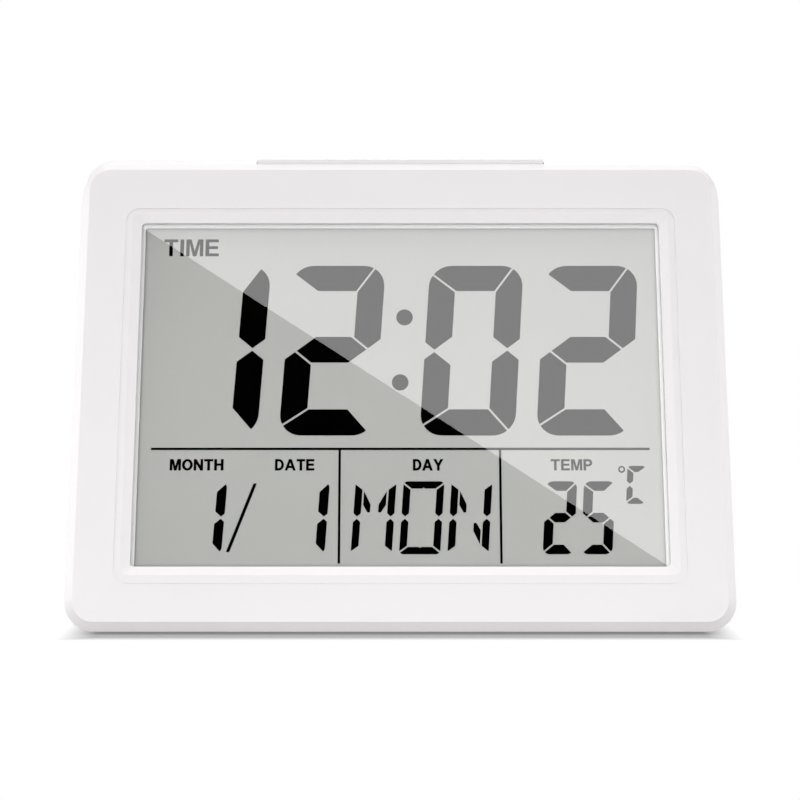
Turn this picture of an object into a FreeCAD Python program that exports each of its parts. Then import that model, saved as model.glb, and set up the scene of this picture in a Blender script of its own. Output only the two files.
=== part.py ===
import FreeCAD, Part
import math
import os
import re
import Sketcher

# Desk clock with a large LCD in a wedge case: millimetres, +Z up, the display looks along -Y.
# Origin: on the resting surface, in the middle of the clock's width and depth.
# Display parts are drawn in the face's own frame: X right, Y into the clock, Z up the face,
# with its origin at the middle of the flat face, and are leaned back together.

# Driving dimensions. Each is one cell of the sheet, and every other size is an expression of them.
sizes = {
    # case
    "case_width": 188.0,  # overall width
    "top_depth": 16.296,  # top of the case, from the face's bevel to the back wall
    "lean": 17.0,  # degrees that the face leans back
    "face_height": 133.6,  # flat face, bottom edge to top edge, along the face
    "face_corner": 6.0,  # corner radius of the flat face
    "bevel_out": 2.5,  # how far the front bevel spreads past the face
    "bevel_back": 2.0,  # how deep the front bevel runs
    "case_corner": 8.4,  # corner radius of the case, seen from the front
    "top_rise": 1.46,  # highest line of the case above the bevel's back edge
    "top_ease": 2.5,  # top's back radius past the corner radius
    "base_ease": 0.8,  # base's back radius past the corner radius
    "wall": 2.4,  # wall of both housings
    "front_wall": 2.6,  # thickness of the face
    "parting_depth": 9.0,  # parting line, behind the face
    "lip_height": 1.5,  # locating lip on the back housing
    "lip_thick": 1.0,  # thickness of the locating lip
    "fit_gap": 0.15,  # clearance between seated pieces
    "overrun": 1.0,  # how far a cutting form passes a face, and a root sinks into a wall
    "foot_stand": 0.8,  # how far the feet stand proud
    "foot_radius": 5.0,  # rubber foot
    "foot_recess": 0.6,  # depth of the foot's recess
    "foot_round": 0.3,  # rounded lower edge of a foot
    "foot_inset": 14.0,  # foot centre from the case side
    "foot_front": 17.0,  # front foot centre from the case front
    "foot_back": 16.0,  # back foot centre from the back wall
    # window frame on the face
    "window_drop": 0.31,  # window's centre below the face centre
    "groove_side": 13.85,  # fine groove round the window, its middle from the case side
    "groove_end": 11.4,  # the same, from the top and bottom of the face
    "groove_drop": 0.6,  # groove's centre below the window's
    "groove_corner": 3.6,  # corner radius of the groove
    "groove_cut": 0.6,  # width of the groove
    "groove_deep": 0.5,  # depth of the groove
    "land_side": 1.7,  # flat between the groove and the window's bevel, at the sides
    "land_end": 1.96,  # the same, above and below
    "window_bevel": 2.55,  # width of the bevel round the window
    "window_sink": 0.95,  # depth of that bevel
    "window_corner": 1.2,  # corner radius of the window opening
    "bevel_corner": 1.9,  # corner radius of the bevel's outer edge
    "pane_seat": 1.8,  # face left in front of the pane's seat
    # pane, display and its frame
    "tape_thick": 0.2,  # adhesive ring
    "tape_wide": 2.4,  # width of the adhesive ring
    "tape_set": 0.3,  # adhesive inside the pane's edge
    "pane_overlap": 3.1,  # pane behind the window's edge
    "pane_thick": 1.0,  # clear pane
    "view_side": 5.14,  # opening of the white display frame, inside the groove at each side
    "view_end": 4.83,  # the same, above and below
    "view_drop": 0.83,  # opening's centre below the face centre
    "frame_face": 0.6,  # front flange of the display frame
    "frame_side": 1.4,  # side walls of the display frame
    "frame_corner": 1.5,  # corner radius of the display frame
    "view_corner": 0.5,  # corner radius of the frame's opening
    "glass_corner": 0.4,  # corner radius of the display's layers
    "layer_inset": 1.0,  # film and light guide inside the edge of the glass
    "glass_thick": 0.7,  # front glass of the display
    "glass_margin": 2.6,  # glass beyond the opening at the sides and top
    "ledge": 4.0,  # front glass past the rear glass, for the contacts
    "segment_thick": 0.1,  # segment layer between the glasses
    "back_glass_thick": 1.1,  # rear glass of the display
    "film_thick": 0.2,  # polariser films
    "guide_thick": 2.6,  # light guide
    "board_gap": 1.0,  # light guide to the display board
    "board_thick": 1.6,  # circuit boards
    "board_corner": 0.8,  # corner radius of the display board
    "strip_wide": 2.2,  # zebra connector strip
    "strip_inset": 5.0,  # strip's end inside the frame's opening
    "film_gap": 0.05,  # play between the display's layers
    "ear_reach": 6.9,  # screw ears past the side of the display frame
    "ear_rise": 1.75,  # front of the screw ears behind the face's inside
    "ear_tall": 7.3,  # screw ears, up the face
    "ear_boss": 2.9,  # radius of the face's boss under each ear
    "pilot_floor": 1.56,  # face left under the inner screws' holes
    "tab_ease": 0.2,  # board's ear inside the frame's ear, above and below
    "ear_low": 30.0,  # lower ears below the face centre
    "ear_set": 0.5,  # upper ears below the board's top edge
    "board_drop": 26.2,  # top edge of the display board below the opening's
    "lamp_long": 1.5,  # backlight lamp, along the width
    "lamp_side": 3.4,  # backlight lamp, up the face
    "lamp_deep": 2.6,  # backlight lamp, in the guide's depth
    "lamp_step": 0.2,  # lamp's back past the light guide's front, and its lens past its body
    "lens_side": 2.0,  # lens of the lamp, up the face
    "lens_deep": 1.6,  # lens of the lamp, in depth
    "notch_long": 2.0,  # notch for the lamp, along the width
    "notch_side": 6.0,  # notch for the lamp, up the face
    "chip_place": 18.0,  # controller, right of the middle
    "chip_drop": 24.0,  # controller below the face centre
    "chip_radius": 8.0,  # epoxy dome over the controller
    "chip_thick": 1.2,  # skirt of that dome
    "crown_inset": 2.0,  # crown of that dome inside its skirt
    "crown_thick": 0.6,  # crown of that dome above its skirt
    "crystal_place": 8.0,  # crystal, left of the middle
    "crystal_radius": 1.5,  # crystal can
    "crystal_long": 6.0,  # crystal can
    "crystal_rise": 1.6,  # axis of the can above the board
    "crystal_foot": 2.0,  # crystal's base, along the width
    "crystal_base": 1.2,  # crystal's base, up the face
    "chip_part_place": 50.0,  # first small component, left of the middle
    "chip_part_drop": 8.0,  # first row of small components below the controller
    "chip_part_pitch": 7.0,  # small components, along the width
    "chip_row_pitch": 6.0,  # small components, row to row
    "chip_part_long": 2.0,  # small component
    "chip_part_wide": 1.25,  # small component
    "chip_part_thick": 0.8,  # small component
    # digits and rules on the display
    "slant": 3.7,  # degrees that the characters lean to the right
    "time_margin": 11.3,  # time digits below the opening's top edge
    "time_left": 8.05,  # time digits from the opening's left edge
    "time_right": 6.85,  # time digits from the opening's right edge
    "time_bar": 7.7,  # segment thickness of the time digits
    "rule_gap": 3.95,  # separator rule below the time digits
    "time_corner": 6.4,  # outer corner radius of the time digits
    "time_gap": 6.2,  # between the digits of a pair
    "colon_gap": 13.1,  # between the pairs
    "colon_radius": 2.4,  # colon dots
    "colon_rise": 9.8,  # colon dots above and below the digits' middle
    "segment_gap": 0.62,  # gap between the segments of the time digits
    "small_gap": 0.5,  # the same, in the small digits and letters
    "small_corner": 2.1,  # outer corner radius of the small digits
    "letter_corner": 1.25,  # outer corner radius of the day letters
    "unit_corner": 1.1,  # outer corner radius of the unit
    "letter_nick": 0.33,  # nick at the middle of the letters' level segments
    "small_height": 21.0,  # date and temperature digits
    "small_width": 8.9,  # date and temperature digits
    "small_bar": 2.72,  # segment thickness of the small digits
    "small_pitch": 10.87,  # temperature digits, centre to centre
    "month_inset": 20.55,  # month digit from the opening's left edge
    "date_inset": 49.8,  # date digit from the opening's left edge
    "temperature_inset": 24.2,  # middle of the temperature from the opening's right edge
    "small_margin": 4.25,  # small digits above the opening's lower edge
    "legend_band": 9.5,  # separator rule above the small digits
    "letter_margin": 3.47,  # day letters from the upright rules
    "letter_bar": 2.08,  # segment thickness of the day letters
    "letter_gap": 2.05,  # between the day letters
    "day_shift": 0.5,  # middle letter, right of its column's middle
    "unit_height": 11.0,  # letter of the unit
    "unit_width": 5.2,  # letter of the unit
    "unit_bar": 1.72,  # segment thickness of the unit
    "unit_rise": 9.5,  # unit's middle above the small digits' middle
    "unit_inset": 7.75,  # unit from the opening's right edge
    "rule_thick": 0.68,  # separator rules
    "rule_side": 3.5,  # horizontal rule from the opening's sides
    "rule_end": 1.6,  # upright rules above the opening's lower edge
    "left_column": 57.65,  # left upright rule from the opening's left edge
    "right_column": 46.42,  # right upright rule from the opening's right edge
    "slash_inset": 29.85,  # slash from the opening's left edge
    "slash_height": 19.8,  # slash
    "slash_thick": 0.96,  # slash, along its row
    "slash_lean": 20.6,  # degrees that the slash leans to the right
    # screw posts
    "post_radius": 3.7,  # screw posts of both housings
    "post_inset": 10.4,  # post axis from the case side
    "post_low": 13.0,  # height of the lower posts
    "post_drop": 17.8,  # upper posts below the top of the case
    "post_bite": 6.6,  # case screw in the front post
    "screw_radius": 1.3,  # thread of the case screws
    "thread_gap": 0.02,  # thread in its pilot hole
    "short_screw": 1.0,  # thread radius of the inner screws
    "cross_deep": 0.6,  # cross recess in the screw heads
    "short_cross": 1.1,  # reach of the cross in the inner screws
    "long_cross": 1.4,  # reach of the cross in the case screws
    "cross_wide": 0.25,  # half width of the cross
    "short_head": 1.9,  # head radius of the inner screws
    "short_head_thick": 1.3,  # head height of the inner screws
    "screw_head": 2.5,  # head radius of the case screws
    "head_thick": 1.8,  # head height of the case screws
    "post_floor": 3.0,  # material under the screw head
    # snooze bar
    "bar_width": 85.0,  # snooze bar
    "bar_depth": 11.4,  # snooze bar
    "bar_front": 0.4,  # its front edge behind the bevel's back edge
    "bar_proud": 0.4,  # its highest line above the case
    "bar_crown": 60.0,  # radius of its top
    "bar_gap": 0.25,  # gap round the bar
    "bar_round": 0.5,  # rounded edges of the bar
    "bar_travel": 1.0,  # press of the snooze bar
    "bar_skin": 2.0,  # wall of the snooze bar
    "bar_skirt": 7.0,  # height of the snooze bar
    "flange_out": 2.0,  # its end flanges
    "flange_thick": 1.5,  # its end flanges
    "shelf_drop": 13.8,  # shelves for springs and snooze switch, below the case top
    "shelf_reach": 4.0,  # shelves past the middle of the bar, in depth
    "shelf_side": 1.2,  # spring shelves past their springs
    "peg_tall": 1.5,  # peg inside each spring
    "plunger_radius": 1.5,  # plunger under the bar
    "flange_deep": 5.0,  # end flanges of the bar, in depth
    "flange_rise": 1.6,  # end flanges above the bar's foot
    "rib_side": 0.6,  # ribs of the bar past their springs
    "lip_clear": 1.0,  # locating lip clear of the bar's flanges
    "shelf_thick": 1.4,  # those shelves
    "small_board": 18.0,  # width of the snooze switch's board
    "spring_inset": 8.5,  # snooze springs, in from the bar's ends
    "spring_radius": 2.0,  # snooze spring coil, to the wire's middle
    "spring_wire": 0.4,  # wire of the snooze springs
    "spring_turns": 5.0,  # turns of a snooze spring
    # keys at the back
    "key_drop": 31.8,  # row of keys below the top of the case
    "key_pitch": 16.0,  # spacing of the buttons
    "key_width": 10.0,  # button
    "key_tall": 6.0,  # button
    "key_travel": 0.8,  # press of a button
    "key_gap": 0.2,  # gap round a button
    "key_round": 0.4,  # rounded edge of a button's top
    "key_inset": 0.1,  # button's top below the back wall
    "key_lip": 0.8,  # button's flange past its cap
    "key_lip_thick": 1.2,  # button's flange
    "key_stem": 1.5,  # radius of a button's stem
    "stem_long": 1.0,  # stem past the flange
    "panel_corner": 3.0,  # corner radius of the sunk panel
    "key_corner": 1.0,  # corner radius of a button
    "key_boss": 2.5,  # posts of the key board
    "key_bite": 4.8,  # inner screw in its post
    "panel_sink": 1.0,  # sunk panel round the buttons
    "panel_width": 104.0,  # sunk panel
    "panel_place": 11.0,  # sunk panel, right of the middle seen from the front
    "panel_height": 14.0,  # sunk panel
    "switch_side": 6.0,  # tact switch, square
    "switch_thick": 3.4,  # tact switch housing
    "switch_cap": 1.6,  # radius of a tact switch's actuator
    "switch_cap_high": 0.3,  # a tact switch's actuator
    "switch_cap_root": 0.5,  # actuators inside their switches, springs' pegs inside their shelf
    "switch_play": 0.1,  # pressed button to actuator
    "key_board_tall": 20.0,  # key board
    "key_board_width": 110.0,  # key board
    "key_board_place": 7.0,  # key board, right of the middle seen from the front
    "key_board_post": 42.0,  # key board screws, left and right of the middle
    "key_board_rise": 6.5,  # key board screws above and below the buttons
    "slider_travel": 3.0,  # alarm switch
    "slider_wide": 4.0,  # alarm switch knob
    "slider_tall": 3.4,  # alarm switch knob
    "slider_place": 53.0,  # alarm switch, right of the middle seen from the front
    "can_long": 9.0,  # slide switch housing
    "can_tall": 4.2,  # slide switch housing
    "can_thick": 3.6,  # slide switch housing
    "lever_root": 2.0,  # slide switch lever inside its can
    "knob_corner": 0.6,  # corner radius of the slide knob
    "lever_side": 1.4,  # slide switch lever, square
    # battery bay
    "cell_length": 50.5,  # AA cell
    "cell_radius": 7.25,  # AA cell
    "cell_play": 0.8,  # play round the cells
    "contact_room": 8.5,  # room for the spring and the plate at the cells' ends
    "bay_low": 15.0,  # lowest line of the bay
    "bay_wall": 1.6,  # walls of the bay
    "door_edge": 4.0,  # door past the bay, all round
    "door_thick": 2.0,  # battery door
    "door_frame_wide": 3.0,  # thickened wall round the door, beside it
    "door_frame_tall": 1.4,  # the same, above and below it
    "door_frame_deep": 1.2,  # the same, in depth
    "notch_wide": 14.0,  # finger notch over the door
    "notch_tall": 2.2,  # finger notch over the door
    "notch_deep": 1.2,  # finger notch over the door
    "grip_wide": 16.0,  # grip lines on the door
    "grip_tall": 0.8,  # grip lines on the door
    "grip_deep": 0.4,  # grip lines on the door
    "grip_pitch": 2.0,  # grip lines on the door
    "grip_drop": 5.0,  # first grip line below the door seat's top
    "door_gap": 0.3,  # gap round the door
    "peg_radius": 0.7,  # hinge pegs of the door
    "peg_gap": 0.05,  # clearance round a peg
    "peg_length": 1.6,  # hinge pegs of the door
    "contact_side": 10.15,  # contact plates
    "contact_plate": 0.4,  # battery contact plates
    "coil_radius": 3.2,  # battery spring, to the wire's middle
    "coil_wire": 0.8,  # battery spring wire
    "coil_press": 1.0,  # how far a cell pushes its spring in
    "coil_turns": 4.0,  # turns of a battery spring
    # sounder and vents
    "sounder_radius": 10.0,  # piezo disc
    "sounder_thick": 0.8,  # piezo disc
    "sounder_inset": 21.6,  # sounder from the screw posts' line
    "sounder_height": 72.0,  # sounder above the table
    "sound_hole": 0.9,  # radius of a sound hole
    "sounder_rim": 1.2,  # wall of the ring that holds the sounder
    "sounder_rise": 2.0,  # that ring in front of the sounder's face
    "sound_ring": 5.0,  # ring of sound holes
    "vent_width": 1.6,  # slots by the temperature sensor
    "vent_height": 12.0,  # slots by the temperature sensor
    "vent_pitch": 4.0,  # slots by the temperature sensor
    "vent_place": 53.0,  # slots, left of the middle seen from the front
    "ribbon_width": 14.0,  # ribbon cable between the boards
    "ribbon_thick": 0.6,  # ribbon cable between the boards
    "ribbon_inset": 3.0,  # cable on the key board, above its lower edge
    "ribbon_drop": 5.0,  # cable on the display board, below its upper edge
    "ribbon_out": 4.0,  # first bend of the cable, in front of the key board
    "ribbon_fall": 3.0,  # first bend of the cable, below its start
    "ribbon_back": 3.5,  # last bend of the cable, behind the display board
    "ribbon_lift": 2.5,  # last bend of the cable, above its end
    "sensor_inset": 2.0,  # temperature sensor from the key board's end
    "sensor_radius": 1.2,  # bead of the sensor
    "sensor_rise": 3.0,  # bead of the sensor above its board
    "sensor_leg": 0.5,  # legs of the sensor
    "sensor_spread": 0.95,  # legs of the sensor, above and below its middle
}

# Sizes that follow from the driving ones.
follows = {
    "case_depth": "(face_height + bevel_out) * sin(lean) + bevel_back * cos(lean) + top_depth",
    "case_top": "foot_stand + (face_height + 2 * bevel_out) * cos(lean) + top_rise",
    "groove_width": "case_width - 2 * groove_side",
    "groove_height": "face_height - 2 * groove_end",
    "view_width": "groove_width - 2 * view_side",
    "view_height": "groove_height - 2 * view_end",
    "view_top": "view_height / 2 - view_drop",
    "board_high": "view_top - board_drop",
    "ear_high": "board_high - ear_set - ear_tall / 2",
    "time_height": "view_height - time_margin - rule_gap - legend_band - small_height - small_margin",
    "time_rise": "view_top - time_margin - time_height / 2",
    "time_width": "(view_width - time_left - time_right - 2 * time_gap - colon_gap) / 4",
    "time_pitch": "time_width + time_gap",
    "minute_place": "view_width / 2 - time_right - time_width / 2 - time_pitch",
    "hour_place": "minute_place - time_width - colon_gap",
    "small_drop": "view_height / 2 + view_drop - small_margin - small_height / 2",
    "rule_drop": "small_drop - small_height / 2 - legend_band",
    "rule_tall": "view_height / 2 + view_drop - rule_end - rule_drop",
    "rule_reach": "view_width / 2 - rule_side",
    "left_rule": "left_column - view_width / 2",
    "right_rule": "view_width / 2 - right_column",
    "month_place": "month_inset - view_width / 2",
    "slash_place": "slash_inset - view_width / 2",
    "date_place": "date_inset - view_width / 2",
    "day_place": "(left_rule + right_rule) / 2 + day_shift",
    "letter_width": "(right_rule - left_rule - 2 * letter_margin - 2 * letter_gap) / 3",
    "letter_pitch": "letter_width + letter_gap",
    "temperature_place": "view_width / 2 - temperature_inset",
    "unit_place": "view_width / 2 - unit_inset",
    "post_high": "case_top - post_drop",
    "post_mid": "(post_low + post_high) / 2",
    "key_height": "case_top - key_drop",
    "sounder_place": "case_width / 2 - post_inset - sounder_inset",
    "spring_spread": "bar_width / 2 - spring_inset",
}

doc = FreeCAD.newDocument("DeskClock")
sheet = doc.addObject("Spreadsheet::Sheet", "Dims")
for row, (name, size) in enumerate(sizes.items(), 1):
    sheet.set("A" + str(row), name)
    sheet.set("B" + str(row), str(size))
    sheet.setAlias("B" + str(row), name)
doc.recompute()


def meaning(word):
    """A size's cell, a worked-out size spelled out, or the word itself."""
    if word in sizes:
        return "Dims." + word
    return "(" + expr(follows[word]) + ")" if word in follows else word


def expr(text):
    """Expression text as the document needs it."""
    return re.sub("[a-z][a-z_]+", lambda word: meaning(word[0]), text)


def value(text):
    """The number that an expression gives now."""
    return float(sheet.evalExpression(expr(text)))


# Places that several pieces share, each an expression of the sizes.
face_width = "(case_width - 2 * bevel_out)"
bevel_drop = "(bevel_out * cos(lean) + bevel_back * sin(lean))"
face_y = "(face_height / 2 * sin(lean) - case_depth / 2)"
face_z = "(foot_stand + " + bevel_drop + " + face_height / 2 * cos(lean))"
back_y = "(case_depth / 2)"
inner_back = "(case_depth / 2 - wall)"
LEANED = "placement(vector(0; " + face_y + "; " + face_z + "); rotation(vector(1; 0; 0); 0 - lean))"


def leaned_y(depth, height):
    """Y of the plane that lies `depth` behind the face, at world height `height`."""
    return "(" + face_y + " + ((" + height + " - " + face_z + ") * sin(lean) + " + depth + ") / cos(lean))"


def bind(thing, prop, text):
    thing.setExpression(prop, expr(text))


def lean_back(thing):
    bind(thing, "Placement", LEANED)


# Part primitives

def box(name, corner, lengths):
    solid = doc.addObject("Part::Box", name)
    for prop, text in zip(("Length", "Width", "Height"), lengths):
        bind(solid, prop, text)
    for axis, text in zip("xyz", corner):
        bind(solid, "Placement.Base." + axis, text)
    return solid


def cylinder(name, base, radius, length, axis="z"):
    """A cylinder from `base` along +X, +Y or +Z."""
    solid = doc.addObject("Part::Cylinder", name)
    bind(solid, "Radius", radius)
    bind(solid, "Height", length)
    turn = {"x": FreeCAD.Rotation(FreeCAD.Vector(0, 1, 0), 90),
            "y": FreeCAD.Rotation(FreeCAD.Vector(1, 0, 0), -90),
            "z": FreeCAD.Rotation()}[axis]
    solid.Placement = FreeCAD.Placement(FreeCAD.Vector(), turn)
    for letter, text in zip("xyz", base):
        bind(solid, "Placement.Base." + letter, text)
    return solid


def fuse(name, pieces):
    joined = doc.addObject("Part::MultiFuse", name)
    joined.Shapes = pieces
    return joined


def cut(name, base, tool):
    result = doc.addObject("Part::Cut", name)
    result.Base = base
    result.Tool = tool
    return result


def common(name, first, second):
    result = doc.addObject("Part::Common", name)
    result.Base = first
    result.Tool = second
    return result


def group(name, pieces):
    """Separate solids kept as one node."""
    result = doc.addObject("Part::Compound", name)
    result.Links = pieces
    return result


# PartDesign bodies and sketches

def new_body(name):
    body = doc.addObject("PartDesign::Body", name)
    body.Label = name
    return body


def new_sketch(body, name, role, offset="0"):
    """A sketch on one of the body's own origin planes, moved along that plane's normal."""
    sketch = body.newObject("Sketcher::SketchObject", name)
    plane = [item for item in body.Origin.OriginFeatures if item.Role == role][0]
    sketch.AttachmentSupport = [(plane, "")]
    sketch.MapMode = "FlatFace"
    bind(sketch, "AttachmentOffset.Base.z", offset)
    return sketch


def hold(sketch, kind, where, text):
    """A dimension in a sketch, driven by an expression."""
    number = sketch.addConstraint(Sketcher.Constraint(kind, *where, value(text)))
    sketch.setExpression("Constraints[" + str(number) + "]", expr(text))


def place_point(sketch, geometry, point, x_text, y_text):
    hold(sketch, "DistanceX", (-1, 1, geometry, point), x_text)
    hold(sketch, "DistanceY", (-1, 1, geometry, point), y_text)


def vector(x_text, y_text):
    return FreeCAD.Vector(value(x_text), value(y_text), 0)


def outline(sketch, points):
    """A closed outline of straight lines through points given as pairs of expressions."""
    first = sketch.GeometryCount
    for here, there in zip(points, points[1:] + points[:1]):
        sketch.addGeometry(Part.LineSegment(vector(*here), vector(*there)), False)
    count = len(points)
    for index in range(count):
        following = first + (index + 1) % count
        sketch.addConstraint(Sketcher.Constraint("Coincident", first + index, 2, following, 1))
    for index, (x_text, y_text) in enumerate(points):
        place_point(sketch, first + index, 1, x_text, y_text)


def rectangle(sketch, width, height, centre_x="0", centre_y="0"):
    left = centre_x + " - (" + width + ") / 2"
    right = centre_x + " + (" + width + ") / 2"
    low = centre_y + " - (" + height + ") / 2"
    high = centre_y + " + (" + height + ") / 2"
    outline(sketch, [(left, low), (right, low), (right, high), (left, high)])


def rounded_rectangle(sketch, width, height, radius, centre_x="0", centre_y="0"):
    """Four lines and four tangent arcs; the arc centres carry the dimensions."""
    first = sketch.GeometryCount
    reach_x = "((" + width + ") / 2 - (" + radius + "))"
    reach_y = "((" + height + ") / 2 - (" + radius + "))"
    corners = [("+", "-", 270), ("+", "+", 0), ("-", "+", 90), ("-", "-", 180)]
    bend = value(radius)
    for sign_x, sign_y, start in corners:
        centre = vector(centre_x + sign_x + reach_x, centre_y + sign_y + reach_y)
        circle = Part.Circle(centre, FreeCAD.Vector(0, 0, 1), bend)
        arc = Part.ArcOfCircle(circle, math.radians(start), math.radians(start + 90))
        sketch.addGeometry(arc, False)
    for index in range(4):
        arc = sketch.Geometry[first + index]
        following = sketch.Geometry[first + (index + 1) % 4]
        sketch.addGeometry(Part.LineSegment(arc.EndPoint, following.StartPoint), False)
    for index in range(4):
        line = first + 4 + index
        sketch.addConstraint(Sketcher.Constraint("Tangent", first + index, 2, line, 1))
        sketch.addConstraint(Sketcher.Constraint("Tangent", line, 2, first + (index + 1) % 4, 1))
    for index, (sign_x, sign_y, _) in enumerate(corners):
        place_point(sketch, first + index, 3, centre_x + sign_x + reach_x, centre_y + sign_y + reach_y)
    hold(sketch, "Radius", (first,), radius)


def circle(sketch, radius, centre_x="0", centre_y="0"):
    number = sketch.addGeometry(Part.Circle(vector(centre_x, centre_y), FreeCAD.Vector(0, 0, 1),
                                            value(radius)), False)
    place_point(sketch, number, 3, centre_x, centre_y)
    hold(sketch, "Radius", (number,), radius)


def pad(body, sketch, name, length, backwards=False, midplane=False):
    feature = body.newObject("PartDesign::Pad", name)
    feature.Profile = sketch
    bind(feature, "Length", length)
    feature.Reversed = backwards
    feature.Midplane = midplane
    return feature


def pocket(body, sketch, name, length, backwards=False, midplane=False):
    """A pocket that has to take something away."""
    doc.recompute()
    before = body.Shape.Volume
    feature = body.newObject("PartDesign::Pocket", name)
    feature.Profile = sketch
    bind(feature, "Length", length)
    feature.Reversed = backwards
    feature.Midplane = midplane
    doc.recompute()
    if body.Shape.Volume >= before:
        raise RuntimeError(name + " cuts nothing")
    return feature


def plate(name, width, height, radius, depth, thick, centre_y="0"):
    """A leaned plate: a rounded rectangle `depth` behind the face and `thick` deep."""
    body = new_body(name)
    sketch = new_sketch(body, name + "_outline", "XZ_Plane", "0 - (" + depth + ")")
    rounded_rectangle(sketch, width, height, radius, "0", centre_y)
    pad(body, sketch, name + "_plate", thick, backwards=True)
    lean_back(body)
    return body


def frame_plate(name, outer, inner, depth, thick, centre_y="0", inner_y=None):
    """A leaned ring between two rounded rectangles, each (width, height, radius)."""
    body = new_body(name)
    sketch = new_sketch(body, name + "_outline", "XZ_Plane", "0 - (" + depth + ")")
    rounded_rectangle(sketch, *outer, "0", centre_y)
    rounded_rectangle(sketch, *inner, "0", inner_y or centre_y)
    pad(body, sketch, name + "_ring", thick, backwards=True)
    lean_back(body)
    return body


# Case form: the wedge seen from the side, run across the width and rounded

top_radius = "(case_corner + top_ease)"
base_radius = "(case_corner + base_ease)"
ridge_y = "(case_depth / 2 - " + top_radius + ")"
bevel_y = "(" + face_y + " + (face_height / 2 + bevel_out) * sin(lean) + bevel_back * cos(lean))"
bevel_z = "(" + face_z + " + (face_height / 2 + bevel_out) * cos(lean) - bevel_back * sin(lean))"
ridge_run = "(" + ridge_y + " - " + bevel_y + ")"
ridge_rise = "(case_top - " + bevel_z + ")"
crown_radius = "((" + ridge_run + " ^ 2 + " + ridge_rise + " ^ 2) / (2 * " + ridge_rise + "))"


def arc_between(sketch, centre, radius, start, end, held=True):
    """An arc, counterclockwise, from two pairs of expressions; its radius is a dimension if `held`."""
    middle = vector(*centre)
    ends = (vector(*start), vector(*end))
    angles = [math.atan2(point.y - middle.y, point.x - middle.x) for point in ends]
    whole = Part.Circle(middle, FreeCAD.Vector(0, 0, 1), value(radius))
    number = sketch.addGeometry(Part.ArcOfCircle(whole, *angles), False)
    place_point(sketch, number, 3, *centre)
    if held:
        hold(sketch, "Radius", (number,), radius)


def side_view(body, name, inset, front_depth):
    """The case seen from the side, `inset` inside its skin, from `front_depth` behind the face."""
    sketch = new_sketch(body, name, "YZ_Plane")
    base_z = "(foot_stand + " + inset + ")"
    rear = "(case_depth / 2 - " + inset + ")"
    base_arc = ("(case_depth / 2 - " + base_radius + ")", "(foot_stand + " + base_radius + ")")
    back_arc = (ridge_y, "(case_top - " + top_radius + ")")
    crown_arc = (ridge_y, "(case_top - " + crown_radius + ")")
    shrink = "((" + crown_radius + " - " + inset + ") / " + crown_radius + ")"
    brow_y = "(" + ridge_y + " - " + ridge_run + " * " + shrink + ")"
    brow_rise = "(" + crown_radius + " - " + ridge_rise + ") * " + shrink
    brow_z = "(case_top - " + crown_radius + " + " + brow_rise + ")"
    off_face = "(" + brow_y + " - " + face_y + ") * cos(lean)"
    brow_depth = "(" + off_face + " - (" + brow_z + " - " + face_z + ") * sin(lean))"
    step = "(" + brow_depth + " - " + front_depth + ")"
    front_top = (brow_y + " - " + step + " * cos(lean)", brow_z + " + " + step + " * sin(lean)")
    front_low = (leaned_y(front_depth, base_z), base_z)
    base_end = (base_arc[0], base_z)
    back_low = (rear, base_arc[1])
    back_high = (rear, back_arc[1])
    ridge = (ridge_y, "(case_top - " + inset + ")")
    brow = (brow_y, brow_z)
    sketch.addGeometry(Part.LineSegment(vector(*front_low), vector(*base_end)), False)
    place_point(sketch, 0, 1, *front_low)
    arc_between(sketch, base_arc, base_radius + " - " + inset, base_end, back_low)
    sketch.addGeometry(Part.LineSegment(vector(*back_low), vector(*back_high)), False)
    arc_between(sketch, back_arc, top_radius + " - " + inset, back_high, ridge)
    arc_between(sketch, crown_arc, crown_radius + " - " + inset, ridge, brow, held=False)
    last = 4
    if inset != "0":
        sketch.addGeometry(Part.LineSegment(vector(*brow), vector(*front_top)), False)
        place_point(sketch, 5, 2, *front_top)
        last = 5
    sketch.addGeometry(Part.LineSegment(vector(*(front_top if last == 5 else brow)), vector(*front_low)),
                       False)
    chain = list(range(last + 2))
    for here, there in zip(chain, chain[1:] + chain[:1]):
        sketch.addConstraint(Sketcher.Constraint("Coincident", here, 2, there, 1))
    hold(sketch, "DistanceX", (-1, 1, 1, 1), base_arc[0])
    hold(sketch, "DistanceY", (-1, 1, 1, 2), base_arc[1])
    hold(sketch, "DistanceY", (-1, 1, 3, 1), back_arc[1])
    hold(sketch, "DistanceX", (-1, 1, 4, 1), ridge_y)
    hold(sketch, "DistanceX", (-1, 1, 4, 2), brow_y)
    return sketch


def round_edges(body, name, chosen, radius):
    """Fillet of the body's edges for which `chosen` says yes."""
    doc.recompute()
    base = body.Tip
    names = ["Edge" + str(number) for number, edge in enumerate(base.Shape.Edges, 1) if chosen(edge)]
    fillet = body.newObject("PartDesign::Fillet", name)
    fillet.Base = (base, names)
    bind(fillet, "Radius", radius)
    doc.recompute()
    return fillet


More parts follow.
